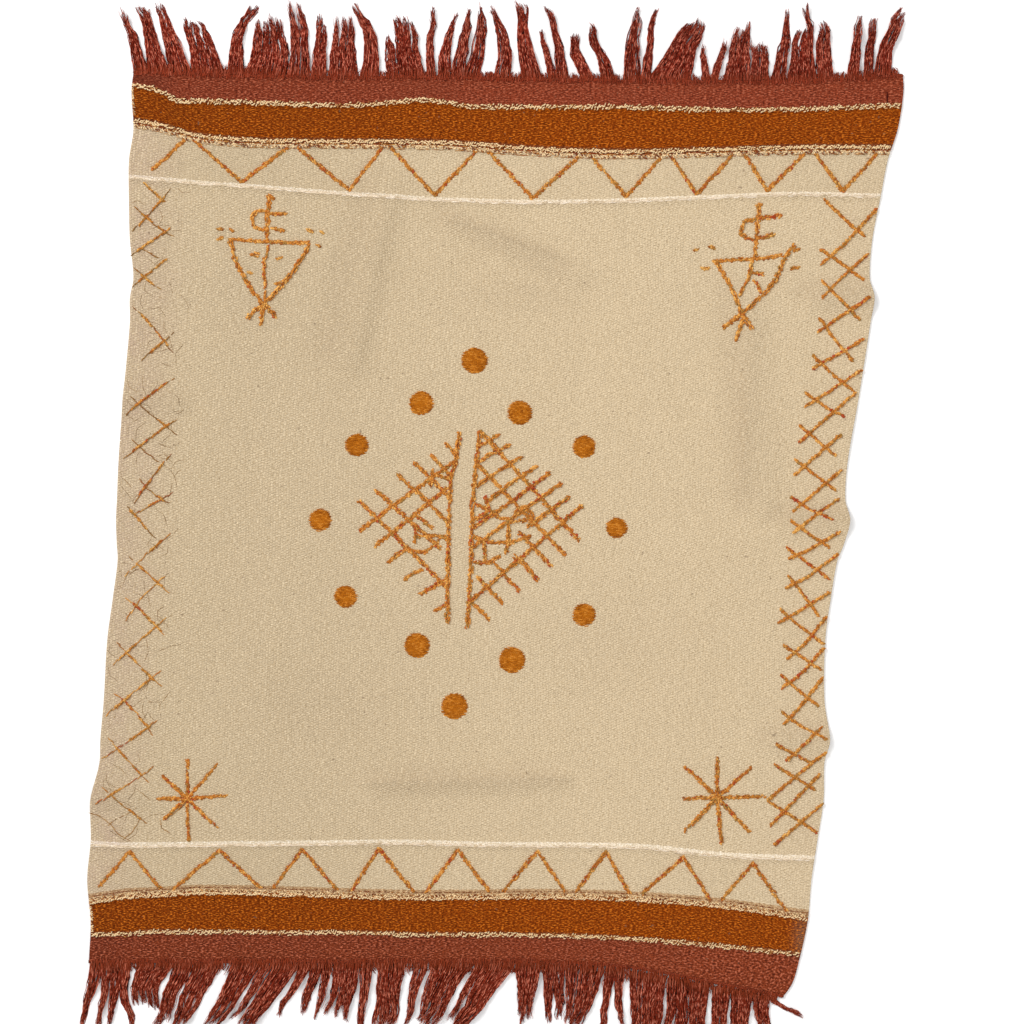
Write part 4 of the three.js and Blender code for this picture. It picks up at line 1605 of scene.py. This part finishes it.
bottomTufts = table(tuftColumns, [
    [-477, 13, 1, -21, 78, 0, 0],
    [-465, 10, 1, -13, 78, 0, 0],
    [-454, 12, 1, -12, 78, 0, 0],
    [-442, 9, 1, 8, 76, 0, -7],
    [-408, 37, 4, -12, 50, 0.2, -6],
    [-377, 20, 2, -32, 74, 0.2, 0],
    [-350, 30, 3, -38, 78, 0.3, 0],
    [-305, 30, 3, -44, 78, 0.3, 0],
    [-281, 12, 1, -38, 62, 0, 0],
    [-259, 28, 3, -50, 78, 0.35, 0],
    [-237, 10, 1, -34, 62, 0, 0],
    [-224, 12, 1, -18, 56, 0, 0],
    [-212, 9, 1, -13, 62, 0, 0],
    [-190, 28, 3, -12, 60, 0, 0],
    [-167, 12, 1, -10, 78, 0, 0],
    [-139, 30, 3, -9, 78, 0.1, 0],
    [-104, 16, 1, -22, 74, 0, 0],
    [-83, 16, 1, -26, 66, 0, 0],
    [-60, 25, 2, -40, 74, 0.3, 0],
    [-36, 9, 1, -42, 70, 0, 0],
    [-14, 35, 4, -52, 78, 0.5, 0],
    [10, 9, 1, -3, 50, 0, 0],
    [24, 16, 2, -10, 66, 0.1, 0],
    [47, 25, 2, 3, 66, 0.1, 0],
    [69, 14, 1, -5, 72, 0, 0],
    [92, 25, 2, -22, 76, 0.4, 0],
    [112, 12, 1, -12, 78, 0, 0],
    [124, 10, 1, 6, 78, 0, -4],
    [143, 13, 1, -2, 80, 0, 0],
    [164, 25, 3, -8, 78, 0.1, 0],
    [191, 23, 2, -8, 78, 0, 0],
    [216, 21, 2, -6, 78, 0, 0],
    [240, 19, 2, -4, 72, 0, 0],
    [264, 21, 2, 0, 62, 0, 0],
    [286, 16, 2, 8, 50, 0, 0],
    [299, 7, 1, 34, 20, 0, 0],
])
lockShape = {
    "thickness": 5.0,
    "flatness": 0.6,
    "fill": 0.9,
    "taper": 0.55,
    "pointedTaper": 0.82,  # of a lock that stands alone
    "thinning": 0.5,
    "shortest": 0.86,
    "rootDepth": 4.0,
}
fringeWool = {
    "Strands": 34,
    "Steps": 13,
    "Thin strand": 0.45,
    "Thick strand": 1.15,
    "Crimp": 4.4,  # how far the noise can push a strand, the most of which is never reached
    "Bend": 7.0,
    "Wave": 18.0,
}
rootShape = {
    "pitch": 6.5,
    "starts": [-9.5, -6.5],
    "points": 6,
    "falls": [[-9, 3.0], [-5, 2.6], [0, 1.6], [3, 0.2]],  # height over the floor by how far out
    "halfWidth": 6.0,
    "depths": [[-17, 0.2], [-6, 1.2], [0, 2.4]],
}
rootWool = {"Strands": 9, "Steps": 6, "Bend": 15.0, "Crimp": 6.0}
fullReach = 80.0


def chance(place):
    # A repeatable number from 0 to 1 for a place along a hem
    value = math.sin(place * 12.9898) * 43758.5453
    return value - math.floor(value)


def hemEnds(hem):
    return [float(acrossX(0, hem[0])), float(acrossX(1, hem[-1]))]


def lockGuides(tufts, hem, outward):
    lines = []
    values = {"room": [], "depth": [], "out": []}
    ends = hemEnds(hem)
    for tuft in tufts:
        pitch = tuft["spread"] / tuft["locks"]
        for number in range(tuft["locks"]):
            offset = (number - (tuft["locks"] - 1) / 2) * pitch
            rootX = tuft["root"] + offset
            rootY = float(rowHeight(hem, (rootX - ends[0]) / (ends[1] - ends[0])))
            reach = tuft["reach"] * mix(lockShape["shortest"], 1, chance(rootX))
            rootWidth = pitch * lockShape["fill"] * mix(0.85, 1.12, chance(rootX + 3))
            thickness = min(lockShape["thickness"], rootWidth * lockShape["flatness"])
            s = np.linspace(-lockShape["rootDepth"] / reach, 1, 12)
            out = np.maximum(s, 0)
            tuftOut = out * reach / tuft["reach"]
            taper = lockShape["pointedTaper" if tuft["locks"] == 1 else "taper"]
            width = rootWidth * (1 - tuft["gather"] * tuftOut) * (1 - taper * out**1.6)
            middle = tuft["root"] + offset * (1 - tuft["gather"] * tuftOut)
            middle = middle + tuft["lean"] * tuftOut + 4 * tuft["bow"] * tuftOut * (1 - tuftOut)
            lines.append(inFrame(middle, rootY + outward * reach * s, np.zeros(len(s))))
            values["room"].append(width / 2 * millimetre)
            values["depth"].append(thickness * (1 - lockShape["thinning"] * out) * millimetre)
            values["out"].append(out)
    return lines, values


def rootGuides(hem, outward, reaches):
    # Short wool all along a hem: it starts on the cloth's edge and fills in between the locks
    dice = random.Random(17 + outward)
    lines = []
    values = {"room": [], "depth": [], "out": []}
    ends = hemEnds(hem)
    count = round((ends[1] - ends[0]) / rootShape["pitch"])
    falls, depths = np.array(rootShape["falls"]), np.array(rootShape["depths"])
    for i in range(count):
        across = float(np.clip((i + 0.5 + dice.uniform(-0.35, 0.35)) / count, 0.012, 0.988))
        reach = float(rowHeight(reaches, across)) * dice.uniform(0.5, 1.2)
        along = np.linspace(dice.uniform(*rootShape["starts"]), reach, rootShape["points"])
        x = mix(ends[0], ends[1], across) + dice.uniform(-0.8, 0.8) * np.maximum(along, 0)
        y = float(rowHeight(hem, across)) + outward * along
        onCloth = np.clip(-along / 6, 0, 1)
        lines.append(inFrame(x, y, np.interp(along, *falls.T) + lift(x, y) * onCloth))
        values["room"].append(np.full(len(along), rootShape["halfWidth"] * millimetre))
        values["depth"].append(np.interp(along, *depths.T) * millimetre)
        values["out"].append(np.maximum(along, 0) / fullReach)
    return lines, values


lockStrands = {
    "lengths": (0.78, 1.06),
    # Painted shade: the lower a strand lies in its lock, the darker it is
    "levelShade": 0.55,  # the share of a strand's tone that its level in the lock gives
    "rootSpread": 1.25,
    "wispSpread": 0.8,
    "strandSpread": 0.7,
    "gathering": 1.5,
    "lockWaves": 24.0,  # this and the next three are scales of noise
    "wispWaves": 34.0,
    "strandWaves": 60.0,
    "crimpWaves": 300.0,
    "rootBend": 0.12,
    "thinning": 0.7,
    "tipPower": 4.0,
    "tipThinning": 0.7,
}


def fringeTree():
    graph = GeometryGraph("Fringe wool", {
        "Strands": ("NodeSocketInt", 40),
        "Steps": ("NodeSocketInt", 14),
        "Thin strand": ("NodeSocketFloat", 0.0004),
        "Thick strand": ("NodeSocketFloat", 0.0012),
        "Crimp": ("NodeSocketFloat", 0.004),
        "Bend": ("NodeSocketFloat", 0.007),
        "Wave": ("NodeSocketFloat", 0.018),
        "Seed": ("NodeSocketInt", 1),
        "Material": ("NodeSocketMaterial", None),
    })
    given = graph.given
    lines = graph.add("GeometryNodeMeshToCurve", {0: given["Geometry"]})
    inputs = {0: lines, "Amount": given["Strands"]}
    copies = graph.add("GeometryNodeDuplicateElements", inputs, domain="SPLINE")
    endShare = graph.chance(*lockStrands["lengths"], True)
    cut = graph.add("GeometryNodeTrimCurve", {0: copies.outputs[0], "End": endShare}, mode="FACTOR")
    strands = graph.add("GeometryNodeResampleCurve", {0: cut, "Count": given["Steps"]}, mode="COUNT")
    level = graph.chance(0.0, 1.0, True)
    # Painted shade: a strand low in its lock is darker, mixed with a random tone of its own
    tone = graph.blend(lockStrands["levelShade"], graph.chance(0.0, 1.0, True), level)
    strands = graph.store(strands.outputs[0], "shade", tone, "CURVE")

    # Across its lock: spread at the root, drawn into three wisps at the tip
    out = graph.attribute("out")
    aside = graph.chance(-1.0, 1.0, True)
    wisp = graph.minus(graph.calc("FLOOR", graph.chance(0.0, 2.999, True)), 1.0)
    tip = graph.times(aside, lockStrands["strandSpread"])
    tip = graph.plus(graph.times(wisp, lockStrands["wispSpread"]), tip)
    root = graph.times(aside, lockStrands["rootSpread"])
    aside = graph.blend(graph.calc("POWER", out, lockStrands["gathering"]), root, tip)
    across = graph.times(aside, graph.attribute("room"))
    high = graph.times(graph.attribute("depth"), level)

    # Waves that a lock, a wisp and a strand share or have alone
    where = graph.add("GeometryNodeInputPosition").outputs[0]
    own = graph.scaled((1.0, 1.7, 2.3), graph.chance(0.0, 60.0, True))
    wispOwn = graph.scaled((3.1, 5.7, 2.2), wisp)

    def wave(label, shift, reach):
        place = graph.scaled(where, lockStrands[label])
        if shift is not None:
            place = graph.vector("ADD", place, shift)
        centred = graph.vector("SUBTRACT", graph.noise(place, 1.0, 1.0, "Color"), (0.5, 0.5, 0.5))
        return graph.scaled(centred, reach)

    moved = graph.vector("ADD", where, graph.combine(across, 0.0, high))
    for move in (
        wave("lockWaves", None, graph.times(given["Wave"], out)),
        wave("wispWaves", wispOwn, graph.times(given["Wave"], graph.times(out, out))),
        wave("strandWaves", own, graph.times(given["Bend"], graph.plus(out, lockStrands["rootBend"]))),
        wave("crimpWaves", own, given["Crimp"]),
    ):
        moved = graph.vector("ADD", moved, move)
    radius = graph.calc("POWER", level, lockStrands["thinning"])
    radius = graph.blend(radius, given["Thick strand"], given["Thin strand"])
    split = graph.add("ShaderNodeSeparateXYZ", {0: moved})
    onFloor = graph.calc("MAXIMUM", split.outputs[2], radius)
    moved = graph.combine(split.outputs[0], split.outputs[1], onFloor)
    laid = graph.add("GeometryNodeSetPosition", {"Geometry": strands, "Position": moved})
    factor = graph.add("GeometryNodeSplineParameter").outputs["Factor"]
    slim = graph.times(graph.calc("POWER", factor, lockStrands["tipPower"]), lockStrands["tipThinning"])
    thick = graph.times(radius, graph.minus(1.0, slim))
    laid = graph.store(laid.outputs[0], "thick", thick, "POINT")
    return graph.finish(graph.tube(laid, 3, graph.attribute("thick"), False))


fringeLook = {
    "toneScale": 90.0,  # of the noise from strand to strand
    "outScale": 13.0,  # of the noise along a strand
    "strandShade": 0.45,
    "streakShade": 2.6,
    "shade": 0.24,
    "stops": (0.08, 0.34, 0.56, 0.92),
    "rootReach": 0.12,  # where the colour of the band beside it ends
    "rootShare": 0.6,
    "fuzzScale": 1900.0,
    "bump": 0.3 * millimetre,
    "bumpStrength": 0.7,
    "sheenTint": (1, 0.6, 0.5, 1),
}


def fringeMaterial(name, shadeDye, dye, highlightDye, bandDye):
    material, graph, shader = newMaterial(name, sheen=0.03, sheenTint=fringeLook["sheenTint"])
    shade, out = graph.fromMesh("shade"), graph.fromMesh("out")
    # Random streaks along each strand, between a dark dye and a pink one: partly the wool's own tone,
    # partly painted highlight and painted shade on its crimps
    along = graph.times(out, fringeLook["outScale"])
    along = graph.combine(graph.times(shade, fringeLook["toneScale"]), along, 0.0)
    streak = graph.times(graph.centred(along, 1.0), fringeLook["streakShade"])
    share = graph.plus(graph.times(shade, fringeLook["strandShade"]), streak)
    share = graph.plus(share, fringeLook["shade"])
    tone = rampOf(graph, share, list(zip(fringeLook["stops"], (shadeDye, dye, dye, highlightDye))))
    root = graph.ranged(out, 0.0, fringeLook["rootReach"], fringeLook["rootShare"], 0.0)
    tone = blendColours(graph, root, tone, bandDye)
    graph.tree.links.new(tone, shader.inputs["Base Color"])
    fuzz = graph.noise(graph.onPiece(), fringeLook["fuzzScale"])
    bumped(graph, shader, fuzz, fringeLook["bump"], fringeLook["bumpStrength"])
    return material


# Making it all

clothWool = clothMaterial()
wools = {wool: woolMaterial(wool) for wool in ("thread", "cream", "white")}
discWool = woolMaterial("disc")
hemWool = yarnMaterial("Hem wool", dyes["maroon"], dyes["lowerMaroonShade"])
yarn = yarnTree()
stitches = stitchTree()
strandTree = fringeTree()

rug = makeCloth(clothWool)
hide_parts("rug_cloth")
onRug(rug)
print("Cloth made")

wrapsOf = {"upperDouble": ("upperDouble", "upperTwined"), "lowerDouble": ("lowerTwined", "lowerDouble")}
for number, row in enumerate(raisedRows):
    parts = []
    for wool in wools:
        strokes = rowStrokes(row, wool)
        if wool == "cream" and row["name"] in wrapsOf:
            strokes.append(wrapStroke(*wrapsOf[row["name"]]))
        if strokes:
            sizes = woolSizes[wool]
            parts.append(sewn(row["name"], strokes, stitches, wools[wool], number, sizes))
    onRug(joined("row_" + row["name"], parts))
print("Weft rows made")

sewing = [(zigzag["name"], zigzagStrokes(zigzag)) for zigzag in zigzags]
sewing += [(lattice["name"], latticeStrokes(lattice)) for lattice in lattices]
sewing += [("loose_hairs", hairStrokes())]
sewing += [(half["name"], diamondStrokes(half)) for half in diamondHalves]
sewing += [(amulet["name"], amuletStrokes(amulet)) for amulet in amulets]
sewing += [(star["name"], starStrokes(star)) for star in stars]
for number, (name, strokes) in enumerate(sewing):
    hairs = [line for line in strokes if line["wool"] == "hair"]
    threads = [line for line in strokes if line["wool"] == "thread"]
    parts = [sewn(name, threads, stitches, wools["thread"], number + 3)] if threads else []
    if hairs:
        parts.append(sewn(name, hairs, stitches, wools["thread"], number + 30, woolSizes["hair"]))
    onRug(joined(name, parts))
filling = sewn("discs", discStrokes(), stitches, discWool, 40, discFilling["sizes"])
onRug(joined("discs", [filling, discDomes(discWool)]))
print("Embroidery made")

fringes = table(["name", "tufts", "hem", "outward", "reaches", "dyes"], [
    ["fringe_top", topTufts, topHem, 1, [9, 8, 8, 7, 5, 3, 3, 3, 3, 3, 3, 3, 4],
     ("fringeShade", "fringe", "fringePink", "maroon")],
    ["fringe_bottom", bottomTufts, bottomHem, -1, [12, 10, 9, 8, 9, 9, 9, 9, 9, 10, 10, 9, 5],
     ("lowerFringeShade", "lowerFringe", "lowerFringePink", "lowerMaroon")],
])
for fringe in fringes:
    name, hem, outward = fringe["name"], fringe["hem"], fringe["outward"]
    dye = fringeMaterial(name + " wool", *[dyes[label] for label in fringe["dyes"]])
    sizes = dict(sized(fringeWool), Seed=5 + outward, Material=dye)
    lines, values = lockGuides(fringe["tufts"], hem, outward)
    locks = grow(name + "_locks", guideLines(name, lines, values), strandTree, sizes)
    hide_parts(name)
    onRug(locks)
    lines, values = rootGuides(hem, outward, fringe["reaches"])
    sizes.update(sized(rootWool), Seed=15 + outward)
    roots = grow(name + "_roots", guideLines(name, lines, values), strandTree, sizes)
    line = hemLine(hem, -outward * hemRopePlace["inwards"], hemRopePlace["height"])
    rope = hemRope(name, line, yarn, hemWool, 9)
    onRug(joined(name + "_roots", [roots, rope]))
print("Fringes made")


# The studio

studio = {
    "cameraHeight": 3.27,  # over the middle of the photograph, which is the plan's origin
    "lens": 100.0,
    "worldStrength": 0.70,
    "floorSize": 14,
    "floorTone": (0.97, 0.97, 0.97, 1),
    "lights": [
        ("key light", (-3.1, 2.5, 3.8), 2.6, 232),  # name, place, size, power
        ("fill light", (3.2, -2.2, 3.4), 3.0, 62),
    ],
}


def makeStudio():
    bpy.ops.mesh.primitive_plane_add(size=studio["floorSize"])
    floor = bpy.context.object
    floor.name = "floor"
    material, _, shader = newMaterial("Pale floor", 0.8, 0.0)
    shader.inputs["Base Color"].default_value = studio["floorTone"]
    floor.data.materials.append(material)

    world = bpy.data.worlds.new("Studio")
    bpy.context.scene.world = world
    world.use_nodes = True
    sky = world.node_tree.nodes["Background"]
    sky.inputs["Color"].default_value = (1, 1, 1, 1)
    sky.inputs["Strength"].default_value = studio["worldStrength"]

    for name, place, size, power in studio["lights"]:
        light = bpy.data.lights.new(name, "AREA")
        light.size = size
        light.energy = power
        lamp = bpy.data.objects.new(name, light)
        bpy.context.scene.collection.objects.link(lamp)
        lamp.location = place
        lamp.rotation_euler = (-Vector(place)).to_track_quat("-Z", "Y").to_euler()

    lens = bpy.data.cameras.new("camera")
    lens.lens = studio["lens"]
    lens.sensor_width = 36
    camera = bpy.data.objects.new("camera", lens)
    bpy.context.scene.collection.objects.link(camera)
    camera.location = (planToFrame[0], planToFrame[1], studio["cameraHeight"])
    bpy.context.scene.camera = camera
    bpy.context.scene.view_settings.view_transform = "Standard"  # dyes then come out as they are


makeStudio()
print("Studio made")
